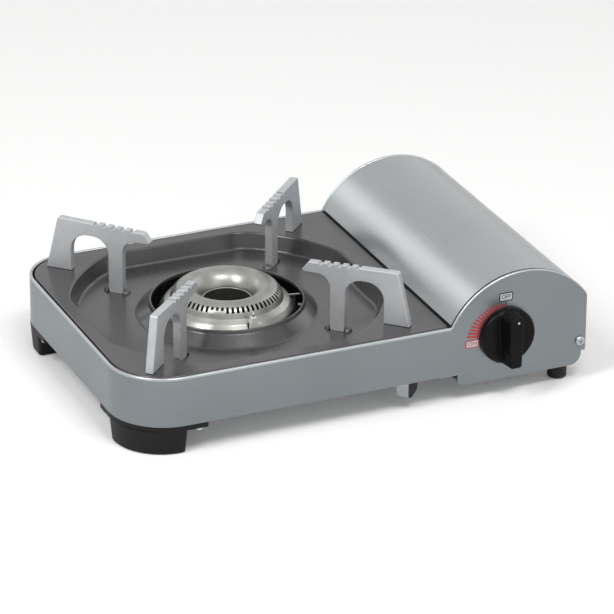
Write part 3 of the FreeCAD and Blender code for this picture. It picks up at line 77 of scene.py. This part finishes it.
def makeFinish(name, look):
    # grain is the fine texture, cloud the slow drift of tone over the surface
    material = bpy.data.materials.new(name)
    material.use_nodes = True
    tree = material.node_tree
    shader = tree.nodes["Principled BSDF"]
    place = addNode(tree, "ShaderNodeTexCoord").outputs["Object"]
    stretch = addNode(tree, "ShaderNodeMapping", values={"Scale": look.get("stretch", (1, 1, 1))},
                      links={"Vector": place}).outputs["Vector"]
    grain = addNode(tree, "ShaderNodeTexNoise",
                    values={"Scale": 1 / (look["grain"] * mm), "Detail": 3.0, "Roughness": 0.6},
                    links={"Vector": stretch}).outputs[0]
    cloud = addNode(tree, "ShaderNodeTexNoise",
                    values={"Scale": 1 / (look["cloud"] * mm), "Detail": 2.0},
                    links={"Vector": place}).outputs[0]
    both = addNode(tree, "ShaderNodeMix", values={0: look.get("grainShare", 0.4)},
                   links={2: cloud, 3: grain}).outputs[0]
    spread = addNode(tree, "ShaderNodeMapRange",
                     values={"From Min": noiseLow, "From Max": noiseHigh},
                     links={"Value": both}).outputs[0]
    tone = addNode(tree, "ShaderNodeMix", settings={"data_type": "RGBA"},
                   values={6: hexColour(look["dark"]), 7: hexColour(look["light"])},
                   links={0: spread}).outputs[2]
    rough = addNode(tree, "ShaderNodeMapRange",
                    values={"From Min": noiseLow, "From Max": noiseHigh,
                            "To Min": look["smooth"], "To Max": look["rough"]},
                    links={"Value": grain}).outputs[0]
    relief = addNode(tree, "ShaderNodeBump",
                     values={"Strength": look.get("relief", 0.1), "Distance": look.get("depth", 0.05) * mm},
                     links={"Height": grain}).outputs["Normal"]
    tree.links.new(tone, shader.inputs["Base Color"])
    tree.links.new(rough, shader.inputs["Roughness"])
    tree.links.new(relief, shader.inputs["Normal"])
    for socket, value in look.get("sockets", {}).items():
        shader.inputs[socket].default_value = value
    return material


finishes = {}

# Steel sheet sprayed with silver baking enamel: an even cool grey that shines like metal,
# with fine flakes in it.
finishes["casing_steel"] = makeFinish("silverEnamelledSteel", {
    "dark": "7e8487", "light": "8a9093", "grain": 0.6, "cloud": 90, "grainShare": 0.35,
    "smooth": 0.28, "rough": 0.38, "relief": 0.08, "depth": 0.02, "sockets": {"Metallic": 0.9}})
# where the painted highlight of the rolled edges lies, and its lighter colour
rolledEdgeHighlight = {
    "rim": 58.2 * mm,      # middle of the rolled edge
    "band": 1.3 * mm,      # half the height of the bright band
    "plateEnd": 68.2 * mm,  # where the end arches begin
    "arch": (124.5 * mm, 0, 31.8 * mm),
    "archRadius": 61.9 * mm,
    "archBand": 0.8 * mm,
    "bright": "adb1b4",
}


def paintEdgeHighlight(material, edge):
    # painted highlight on the rolled edges: a lighter band painted at the rim's height,
    # and one at the radius of the end arches
    tree = material.node_tree
    shader = tree.nodes["Principled BSDF"]
    tone = shader.inputs["Base Color"].links[0].from_socket
    place = addNode(tree, "ShaderNodeTexCoord").outputs["Object"]
    axes = addNode(tree, "ShaderNodeSeparateXYZ", links={"Vector": place}).outputs
    above = addNode(tree, "ShaderNodeMath", settings={"operation": "COMPARE"},
                    values={1: edge["rim"], 2: edge["band"]}, links={0: axes["Z"]}).outputs[0]
    before = addNode(tree, "ShaderNodeMath", settings={"operation": "LESS_THAN"},
                     values={1: edge["plateEnd"]}, links={0: axes["X"]}).outputs[0]
    rim = addNode(tree, "ShaderNodeMath", settings={"operation": "MULTIPLY"},
                  links={0: above, 1: before}).outputs[0]
    level = addNode(tree, "ShaderNodeVectorMath", settings={"operation": "MULTIPLY"},
                    values={1: (1, 0, 1)}, links={0: place}).outputs["Vector"]
    reach = addNode(tree, "ShaderNodeVectorMath", settings={"operation": "DISTANCE"},
                    values={1: edge["arch"]}, links={0: level}).outputs["Value"]
    bend = addNode(tree, "ShaderNodeMath", settings={"operation": "COMPARE"},
                   values={1: edge["archRadius"], 2: edge["archBand"]}, links={0: reach}).outputs[0]
    high = addNode(tree, "ShaderNodeMath", settings={"operation": "GREATER_THAN"},
                   values={1: edge["rim"]}, links={0: axes["Z"]}).outputs[0]
    arch = addNode(tree, "ShaderNodeMath", settings={"operation": "MULTIPLY"},
                   links={0: bend, 1: high}).outputs[0]
    band = addNode(tree, "ShaderNodeMath", settings={"operation": "MAXIMUM"},
                   links={0: rim, 1: arch}).outputs[0]
    highlightedTone = addNode(tree, "ShaderNodeMix", settings={"data_type": "RGBA"},
                     values={7: hexColour(edge["bright"])}, links={0: band, 6: tone}).outputs[2]
    tree.links.new(highlightedTone, shader.inputs["Base Color"])


# painted highlight along the casing's rim and the edges of its end arches
paintEdgeHighlight(finishes["casing_steel"], rolledEdgeHighlight)

# Stainless steel sheet, hairline brushed along its length and lacquered: pale metal with long soft streaks,
# set paler than the casing partly as painted light falling on the lid's top.
lidSteelPaintedLit = makeFinish("hairlineStainlessSheetPaintedLit", {
    "dark": "9ea1a3", "light": "a8abac", "grain": 0.8, "cloud": 70, "stretch": (1, 0.02, 1),
    "grainShare": 0.4,
    "smooth": 0.27, "rough": 0.33, "relief": 0.04, "depth": 0.02, "sockets": {"Metallic": 1.0}})
# Steel sheet plated with zinc as rolled: cool grey with faint rolling streaks.
finishes["zinc_steel"] = makeFinish("zincPlatedSheet", {
    "dark": "8f9498", "light": "aeb3b7", "grain": 1.2, "cloud": 18, "stretch": (0.15, 1, 1),
    "smooth": 0.28, "rough": 0.44, "relief": 0.08, "depth": 0.02, "sockets": {"Metallic": 1.0}})
# Steel plate under a sprayed fluororesin coat: dark warm grey with a satin gloss
# and the spray's fine pebble.
finishes["dark_enamel"] = makeFinish("fluororesinCoatedPlate", {
    "dark": "343334", "light": "3e3d3e", "grain": 0.8, "cloud": 60, "grainShare": 0.5,
    "smooth": 0.20, "rough": 0.28, "relief": 0.08, "depth": 0.03, "sockets": {"IOR": 1.6}})
# Die-cast aluminium, tumbled: pale grey and matt, with the small pits of the cast skin.
finishes["cast_metal"] = makeFinish("tumbledCastAluminium", {
    "dark": "aeb1b4", "light": "c5c7c9", "grain": 0.9, "cloud": 12, "grainShare": 0.7,
    "smooth": 0.46, "rough": 0.60, "relief": 0.4, "depth": 0.10, "sockets": {"Metallic": 0.5}})
# Stainless steel, spun and buffed: neutral bright metal whose reflections are soft,
# with faint rings from the lathe.
finishes["burner_steel"] = makeFinish("buffedStainlessSteel", {
    "dark": "888984", "light": "a0a19c", "grain": 0.9, "cloud": 14, "stretch": (1, 1, 3), "grainShare": 0.3,
    "smooth": 0.30, "rough": 0.40, "relief": 0.05, "depth": 0.02, "sockets": {"Metallic": 1.0}})
# Zinc die casting, as cast: dull mid grey.
finishes["die_cast"] = makeFinish("zincDieCasting", {
    "dark": "85888b", "light": "9a9da0", "grain": 0.9, "cloud": 12,
    "smooth": 0.42, "rough": 0.56, "relief": 0.25, "depth": 0.06, "sockets": {"Metallic": 0.95}})
# Free-cutting brass, turned: yellow metal with fine tool lines.
finishes["brass"] = makeFinish("turnedBrass", {
    "dark": "b08a45", "light": "cfae63", "grain": 0.5, "cloud": 8, "stretch": (1, 4, 1),
    "smooth": 0.20, "rough": 0.34, "relief": 0.12, "depth": 0.03, "sockets": {"Metallic": 1.0}})
# Copper tube, drawn: reddish metal, slightly tarnished.
finishes["copper_tube"] = makeFinish("drawnCopperTube", {
    "dark": "9c5b3c", "light": "c07c58", "grain": 0.6, "cloud": 9,
    "smooth": 0.26, "rough": 0.42, "relief": 0.08, "depth": 0.02, "sockets": {"Metallic": 1.0}})
# Aluminium sheet, mill finish: pale metal with rolling lines.
finishes["aluminium_sheet"] = makeFinish("millAluminiumSheet", {
    "dark": "b4b7ba", "light": "d0d2d4", "grain": 1.0, "cloud": 20, "stretch": (0.15, 1, 1),
    "smooth": 0.24, "rough": 0.38, "relief": 0.06, "depth": 0.02, "sockets": {"Metallic": 1.0}})
# Ferrite magnet, sintered and ground: near-black with a dull sheen.
finishes["ferrite"] = makeFinish("groundFerrite", {
    "dark": "232427", "light": "34353a", "grain": 0.6, "cloud": 6,
    "smooth": 0.46, "rough": 0.62, "relief": 0.15, "depth": 0.03, "sockets": {"IOR": 2.2}})
# Phenolic resin, compression moulded: black and satin, faintly mottled.
finishes["black_plastic"] = makeFinish("mouldedPhenolic", {
    "dark": "101011", "light": "19191a", "grain": 0.9, "cloud": 20,
    "smooth": 0.40, "rough": 0.54, "relief": 0.2, "depth": 0.04,
    "sockets": {"IOR": 1.5, "Specular IOR Level": 0.22}})
# Polyamide, injection moulded in a polished tool: black with a soft gloss.
finishes["knob_plastic"] = makeFinish("glossyPolyamide", {
    "dark": "0a0a0b", "light": "101011", "grain": 0.7, "cloud": 16,
    "smooth": 0.22, "rough": 0.30, "relief": 0.06, "depth": 0.02,
    "sockets": {"IOR": 1.5, "Specular IOR Level": 0.12}})
# Polypropylene, injection moulded: dark grey and matt.
finishes["case_plastic"] = makeFinish("mouldedPolypropylene", {
    "dark": "2c2c2e", "light": "38383a", "grain": 0.7, "cloud": 14,
    "smooth": 0.44, "rough": 0.56, "relief": 0.12, "depth": 0.03, "sockets": {"IOR": 1.49}})
# Acetal, injection moulded: signal red and waxy.
finishes["red_plastic"] = makeFinish("mouldedAcetal", {
    "dark": "a82a22", "light": "bd362c", "grain": 0.7, "cloud": 12,
    "smooth": 0.34, "rough": 0.44, "relief": 0.08, "depth": 0.02, "sockets": {"IOR": 1.48}})
# Nitrile rubber, moulded: black with a dusty bloom.
finishes["black_rubber"] = makeFinish("mouldedNitrileRubber", {
    "dark": "171718", "light": "252527", "grain": 0.9, "cloud": 10,
    "smooth": 0.55, "rough": 0.75, "relief": 0.2, "depth": 0.05,
    "sockets": {"IOR": 1.52, "Specular IOR Level": 0.35}})
# Silicone rubber sleeve, extruded: off-white and smooth.
finishes["lead_rubber"] = makeFinish("extrudedSilicone", {
    "dark": "b9b4a6", "light": "cdc8bb", "grain": 0.8, "cloud": 14,
    "smooth": 0.42, "rough": 0.55, "relief": 0.08, "depth": 0.02, "sockets": {"IOR": 1.41}})
# Alumina ceramic, glazed: white with a wet gloss.
finishes["ceramic"] = makeFinish("glazedAlumina", {
    "dark": "d6d4cc", "light": "e4e2db", "grain": 1.0, "cloud": 8,
    "smooth": 0.14, "rough": 0.24, "relief": 0.06, "depth": 0.02, "sockets": {"IOR": 1.6}})
# Machine screws, cold headed and zinc plated: bright bluish metal.
finishes["screw_steel"] = makeFinish("zincPlatedScrews", {
    "dark": "a6abb0", "light": "c4c8cb", "grain": 0.5, "cloud": 6,
    "smooth": 0.20, "rough": 0.34, "relief": 0.08, "depth": 0.02, "sockets": {"Metallic": 1.0}})
# Screen-printing inks: thin matt films that let a little of the enamel's grain through.
redInk = makeFinish("redPrintingInk", {
    "dark": "b4262e", "light": "c23a40", "grain": 0.8, "cloud": 6,
    "smooth": 0.42, "rough": 0.55, "relief": 0.1, "depth": 0.02, "sockets": {"IOR": 1.5}})
blackInk = makeFinish("blackPrintingInk", {
    "dark": "1b1c1e", "light": "28292b", "grain": 0.8, "cloud": 6,
    "smooth": 0.42, "rough": 0.55, "relief": 0.1, "depth": 0.02, "sockets": {"IOR": 1.5}})
# the white ink also paints the highlight dot on the knob's grip
whiteInkAndHighlight = makeFinish("whitePrintingInkAndPaintedHighlight", {
    "dark": "bfc2c4", "light": "cdd0d1", "grain": 0.8, "cloud": 6,
    "smooth": 0.42, "rough": 0.55, "relief": 0.1, "depth": 0.02, "sockets": {"IOR": 1.5}})

for part in frame["record"]["subparts"]:
    for slot in nodes[part["node"]].material_slots:
        slot.material = finishes[part["material_slot"]]
# the lid's own steel, paler than the casing's partly as painted light on its top
for slot in nodes["cartridge_lid"].material_slots:
    slot.material = lidSteelPaintedLit
print("finishes set")


def addPiece(name, bm, finish, body):
    mesh = bpy.data.meshes.new(name)
    bm.to_mesh(mesh)
    bm.free()
    mesh.materials.append(finish)
    piece = bpy.data.objects.new(name, mesh)
    bpy.context.scene.collection.objects.link(piece)
    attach(piece, body)
    return piece


def softenEdges(node, look):
    # a merged copy of a part with its sharp edges rounded, so that they catch the light
    weld = 0.002 * mm
    crease = math.radians(35)  # sharper edges than this stay sharp in the shading
    bm = bmesh.new()
    bm.from_mesh(nodes[node].data)
    bmesh.ops.remove_doubles(bm, verts=bm.verts, dist=weld)
    bmesh.ops.dissolve_limit(bm, angle_limit=math.radians(look["flat"]), verts=bm.verts, edges=bm.edges)
    top = max(vert.co.z for vert in bm.verts) - look.get("leaveTop", 0) * mm
    shortest = look.get("shortest", 0) * mm
    sharp = []
    for edge in bm.edges:
        if not edge.is_manifold or edge.calc_face_angle(0) < math.radians(look["sharp"]):
            continue
        notched = min(vert.co.z for vert in edge.verts) > top and edge.calc_length() < shortest
        if not notched:
            sharp.append(edge)
    bmesh.ops.bevel(bm, geom=sharp, offset=look["round"] * mm, affect="EDGES", segments=2,
                    profile=0.5, material=-1, clamp_overlap=look.get("clamp", False))
    for face in bm.faces:
        face.smooth = True
    for edge in bm.edges:
        edge.smooth = not edge.is_manifold or edge.calc_face_angle(0) < crease
    finish = nodes[node].material_slots[0].material
    piece = addPiece(node + "_softened", bm, finish, look["body"])
    even = piece.modifiers.new("evenNormals", "WEIGHTED_NORMAL")
    even.keep_sharp = True
    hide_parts(node)


support = {"body": "top", "slot": "cast_metal", "flat": 0.5, "sharp": 40, "round": 0.3,
           "leaveTop": 6.0, "shortest": 6.0}  # the pan's notches keep their crisp edges
for corner in ("rear_right", "rear_left", "front_left", "front_right"):
    softenEdges("pan_support_" + corner, support)
grip = {"body": "knob", "slot": "knob_plastic", "flat": 0.5, "sharp": 35, "round": 0.5}
softenEdges("control_knob", grip)
foot = {"body": "stove", "slot": "black_plastic", "flat": 0.5, "sharp": 40, "round": 0.5, "clamp": True}
softenEdges("front_left_foot", foot)
softenEdges("rear_left_foot", foot)
print("supports, knob and feet softened")

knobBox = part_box("control_knob")
dial = {
    "axisX": (knobBox[0].x + knobBox[1].x) / 2,  # the knob's axis
    "axisZ": 46.6 * mm,
    "face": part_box("body_shell")[0].y,  # the panel's front
    "ink": 0.06,      # thickness of a print
    "backing": 0.03,  # thickness of the white under it
    "ticks": 16,
    "firstTurn": 174.6,  # degrees, from the right, anticlockwise
    "lastTurn": 93.5,
    "inner": 21.6,
    "outerFirst": 30.9,
    "outerLast": 24.2,
    "tickFirst": 1.5,   # width of the widest tick
    "tickLast": 0.9,
    "leader": 0.5,
}
lightBox = {"text": "ON", "x": -26.5, "z": -3.0, "width": 10.6, "height": 6.3,
            "corner": 1.2, "line": 0.8, "type": 4.6}
offBox = {"text": "OFF", "x": -0.7, "z": 29.3, "width": 10.8, "height": 6.7,
          "corner": 1.2, "line": 0.8, "type": 4.2}


def printFlat(bm, depth):
    # gives a flat print, drawn in X and Z at y = 0, its thickness towards the panel
    front = bmesh.ops.extrude_face_region(bm, geom=bm.faces[:])
    risen = [v for v in front["geom"] if isinstance(v, bmesh.types.BMVert)]
    bmesh.ops.translate(bm, verts=risen, vec=(0, -depth * mm, 0))
    bmesh.ops.recalc_face_normals(bm, faces=bm.faces)
    bmesh.ops.translate(bm, verts=bm.verts, vec=(dial["axisX"], dial["face"], dial["axisZ"]))


def addTablet(bm, box, shrink):
    # a flat rounded rectangle about the box's centre
    corner = box["corner"] - shrink
    width = box["width"] / 2 - shrink
    height = box["height"] / 2 - shrink
    made = bmesh.ops.create_grid(bm, x_segments=1, y_segments=1, size=1.0)["verts"]
    bmesh.ops.scale(bm, verts=made, vec=(width * mm, height * mm, 1))
    bmesh.ops.rotate(bm, verts=made, matrix=Matrix.Rotation(math.radians(90), 3, "X"))
    bmesh.ops.translate(bm, verts=made, vec=(box["x"] * mm, 0, box["z"] * mm))
    bmesh.ops.bevel(bm, geom=made, offset=corner * mm, affect="VERTICES", segments=5,
                    profile=0.5, material=-1)


def addFrame(bm, box):
    # the outline round a tablet
    tablet = bmesh.new()
    addTablet(tablet, box, 0)
    band = bmesh.ops.inset_region(tablet, faces=tablet.faces[:], thickness=box["line"] * mm,
                                  use_boundary=True, use_even_offset=True)["faces"]
    inner = [face for face in tablet.faces if face not in band]
    bmesh.ops.delete(tablet, geom=inner, context="FACES")
    mesh = bpy.data.meshes.new("outline")
    tablet.to_mesh(mesh)
    tablet.free()
    bm.from_mesh(mesh)
    bpy.data.meshes.remove(mesh)


def addWord(bm, box):
    # the box's generic word, as flat letters
    heavier = 0.03 * mm  # how much bolder than the plain letters
    weld = 0.001 * mm
    data = bpy.data.curves.new("word", "FONT")
    data.body = box["text"]
    data.size = box["type"] * mm
    data.align_x = "CENTER"
    data.align_y = "CENTER"
    data.offset = heavier
    word = bpy.data.objects.new("word", data)
    mesh = bpy.data.meshes.new_from_object(word)
    start = len(bm.verts)
    bm.from_mesh(mesh)
    bm.verts.ensure_lookup_table()
    made = bm.verts[start:]
    bmesh.ops.remove_doubles(bm, verts=made, dist=weld)
    bm.verts.ensure_lookup_table()
    made = bm.verts[start:]
    bmesh.ops.rotate(bm, verts=made, matrix=Matrix.Rotation(math.radians(90), 3, "X"))
    bmesh.ops.translate(bm, verts=made, vec=(box["x"] * mm, 0, box["z"] * mm))
    bpy.data.objects.remove(word)
    bpy.data.curves.remove(data)
    bpy.data.meshes.remove(mesh)


def addTick(bm, share):
    # one bar of the scale, longest and widest at the full flame
    turn = math.radians(dial["firstTurn"] + (dial["lastTurn"] - dial["firstTurn"]) * share)
    outer = dial["outerFirst"] + (dial["outerLast"] - dial["outerFirst"]) * share
    width = dial["tickFirst"] + (dial["tickLast"] - dial["tickFirst"]) * share
    made = bmesh.ops.create_grid(bm, x_segments=1, y_segments=1, size=0.5)["verts"]
    bmesh.ops.scale(bm, verts=made, vec=((outer - dial["inner"]) * mm, width * mm, 1))
    bmesh.ops.translate(bm, verts=made, vec=((outer + dial["inner"]) / 2 * mm, 0, 0))
    bmesh.ops.rotate(bm, verts=made, matrix=Matrix.Rotation(turn, 3, "Z"))
    bmesh.ops.rotate(bm, verts=made, matrix=Matrix.Rotation(math.radians(90), 3, "X"))


backing = bmesh.new()
addTablet(backing, lightBox, lightBox["line"] / 2)
addTablet(backing, offBox, offBox["line"] / 2)
printFlat(backing, dial["backing"])
addPiece("dial_white_print", backing, whiteInkAndHighlight, "stove")

redPrint = bmesh.new()
addFrame(redPrint, lightBox)
addWord(redPrint, lightBox)
for number in range(dial["ticks"]):
    addTick(redPrint, number / (dial["ticks"] - 1))
printFlat(redPrint, dial["ink"])
addPiece("dial_red_print", redPrint, redInk, "stove")

blackPrint = bmesh.new()
addFrame(blackPrint, offBox)
addWord(blackPrint, offBox)
low = offBox["z"] - offBox["height"] / 2
leader = bmesh.ops.create_grid(blackPrint, x_segments=1, y_segments=1, size=0.5)["verts"]
bmesh.ops.scale(blackPrint, verts=leader, vec=(dial["leader"] * mm, (low - dial["inner"]) * mm, 1))
bmesh.ops.rotate(blackPrint, verts=leader, matrix=Matrix.Rotation(math.radians(90), 3, "X"))
bmesh.ops.translate(blackPrint, verts=leader, vec=(offBox["x"] * mm, 0, (low + dial["inner"]) / 2 * mm))
printFlat(blackPrint, dial["ink"])
addPiece("dial_black_print", blackPrint, blackInk, "stove")

# a painted highlight: a pale dot where the grip's top chamfer catches the light
gripHighlightDot = {"across": 1.0, "up": 15.9, "radius": 0.85, "thick": 0.6, "proud": 0.012}


def makeGripHighlightDot(look):
    # a pale dot on the front of the grip, a painted highlight where its top chamfer catches the light,
    # set into whatever surface it meets there
    grip = bmesh.new()
    grip.from_mesh(nodes["control_knob"].data)
    start = Vector((dial["axisX"] + look["across"] * mm, -1, dial["axisZ"] + look["up"] * mm))
    spot, facing = BVHTree.FromBMesh(grip).ray_cast(start, Vector((0, 1, 0)))[:2]
    grip.free()
    bm = bmesh.new()
    bmesh.ops.create_cone(bm, cap_ends=True, segments=32, radius1=look["radius"] * mm,
                          radius2=look["radius"] * mm, depth=look["thick"] * mm)
    turn = facing.to_track_quat("Z", "Y").to_matrix()
    bmesh.ops.rotate(bm, verts=bm.verts, matrix=turn)
    bmesh.ops.translate(bm, verts=bm.verts, vec=spot + facing * (look["proud"] - look["thick"] / 2) * mm)
    addPiece("knob_painted_highlight", bm, whiteInkAndHighlight, "knob")


makeGripHighlightDot(gripHighlightDot)
print("dial printed")


def makeFloor(size):
    bm = bmesh.new()
    bmesh.ops.create_circle(bm, cap_ends=True, segments=96, radius=size["radius"])
    mesh = bpy.data.meshes.new("floor")
    bm.to_mesh(mesh)
    bm.free()
    floor = bpy.data.objects.new("floor", mesh)
    bpy.context.scene.collection.objects.link(floor)
    floor.location.z = -size["below"]
    paper = bpy.data.materials.new("whitePaper")
    paper.use_nodes = True
    shader = paper.node_tree.nodes["Principled BSDF"]
    shader.inputs["Base Color"].default_value = hexColour(size["colour"])
    shader.inputs["Roughness"].default_value = size["rough"]
    shader.inputs["Emission Color"].default_value = (1, 1, 1, 1)
    seen = addNode(paper.node_tree, "ShaderNodeLightPath").outputs["Is Camera Ray"]
    lift = addNode(paper.node_tree, "ShaderNodeMath", settings={"operation": "MULTIPLY"},
                   values={1: size["lift"]}, links={0: seen})
    paper.node_tree.links.new(lift.outputs[0], shader.inputs["Emission Strength"])
    mesh.materials.append(paper)


def addLamp(name, lamp):
    light = bpy.data.lights.new(name, "AREA")
    light.shape = "RECTANGLE"
    light.size, light.size_y = lamp["size"]
    light.energy = lamp["power"]
    place = bpy.data.objects.new(name, light)
    place.location = lamp["at"]
    aim = Vector(lamp["aim"]) - Vector(lamp["at"])
    place.rotation_euler = aim.to_track_quat("-Z", "Y").to_euler()
    bpy.context.scene.collection.objects.link(place)


def addCamera(view):
    turn = math.radians(view["turn"])
    rise = math.radians(view["rise"])
    lean = math.radians(view["lean"])
    back = Vector((math.sin(turn) * math.cos(rise), -math.cos(turn) * math.cos(rise), math.sin(rise)))
    right = Vector((math.cos(turn), math.sin(turn), 0))
    up = back.cross(right)
    across = right * math.cos(lean) + up * math.sin(lean)
    upright = up * math.cos(lean) - right * math.sin(lean)
    data = bpy.data.cameras.new("camera")
    data.lens = view["lens"]
    data.sensor_width = 36
    data.clip_end = 50
    camera = bpy.data.objects.new("camera", data)
    place = Vector(view["target"]) + back * view["distance"]
    camera.matrix_world = Matrix((
        (across.x, upright.x, back.x, place.x),
        (across.y, upright.y, back.y, place.y),
        (across.z, upright.z, back.z, place.z),
        (0, 0, 0, 1)))
    bpy.context.scene.collection.objects.link(camera)
    bpy.context.scene.camera = camera


makeFloor({"radius": 9, "below": 0.0004, "colour": "fbfbfa", "rough": 0.9, "lift": 0.10})
addLamp("keyLamp", {"at": (-1.61, -0.57, 1.96), "aim": (0, 0, 0.03), "size": (0.6, 1.2), "power": 28})
addLamp("topLamp", {"at": (0.05, -1.05, 1.85), "aim": (0, 0, 0.03), "size": (0.9, 0.5), "power": 15})
addLamp("frontLamp", {"at": (0.7, -2.2, 1.5), "aim": (0, 0, 0.03), "size": (1.4, 1.2), "power": 4})
addLamp("rightLamp", {"at": (2.0, 0.8, 1.4), "aim": (0, 0, 0.03), "size": (1.0, 1.4), "power": 4})
addLamp("rearLamp", {"at": (-0.85, 2.1, 1.15), "aim": (0.09, 0, 0.06), "size": (0.5, 1.0), "power": 2.2})

daylight = {"onObject": 0.36, "seen": 1.0}  # the studio's light, and its white as seen and reflected
world = bpy.data.worlds.new("studio")
bpy.context.scene.world = world
world.use_nodes = True
sky = world.node_tree
sky.nodes.clear()
rays = addNode(sky, "ShaderNodeLightPath")
seen = addNode(sky, "ShaderNodeMath", settings={"operation": "MAXIMUM"},
               links={0: rays.outputs["Is Camera Ray"], 1: rays.outputs["Is Glossy Ray"]})
through = addNode(sky, "ShaderNodeMath", settings={"operation": "MAXIMUM"},
                  links={0: seen.outputs[0], 1: rays.outputs["Is Transmission Ray"]})
level = addNode(sky, "ShaderNodeMapRange", links={"Value": through.outputs[0]},
                values={"To Min": daylight["onObject"], "To Max": daylight["seen"]})
glow = addNode(sky, "ShaderNodeBackground", values={"Color": (1, 1, 1, 1)},
               links={"Strength": level.outputs[0]})
addNode(sky, "ShaderNodeOutputWorld", links={"Surface": glow.outputs[0]})

addCamera({"turn": -23.76, "rise": 24.93, "lean": 0.358, "distance": 2.9401,
           "target": (0.003679, 0.000597, 0.041393), "lens": 238.13})
bpy.context.scene.view_settings.view_transform = "Standard"
print("studio set")
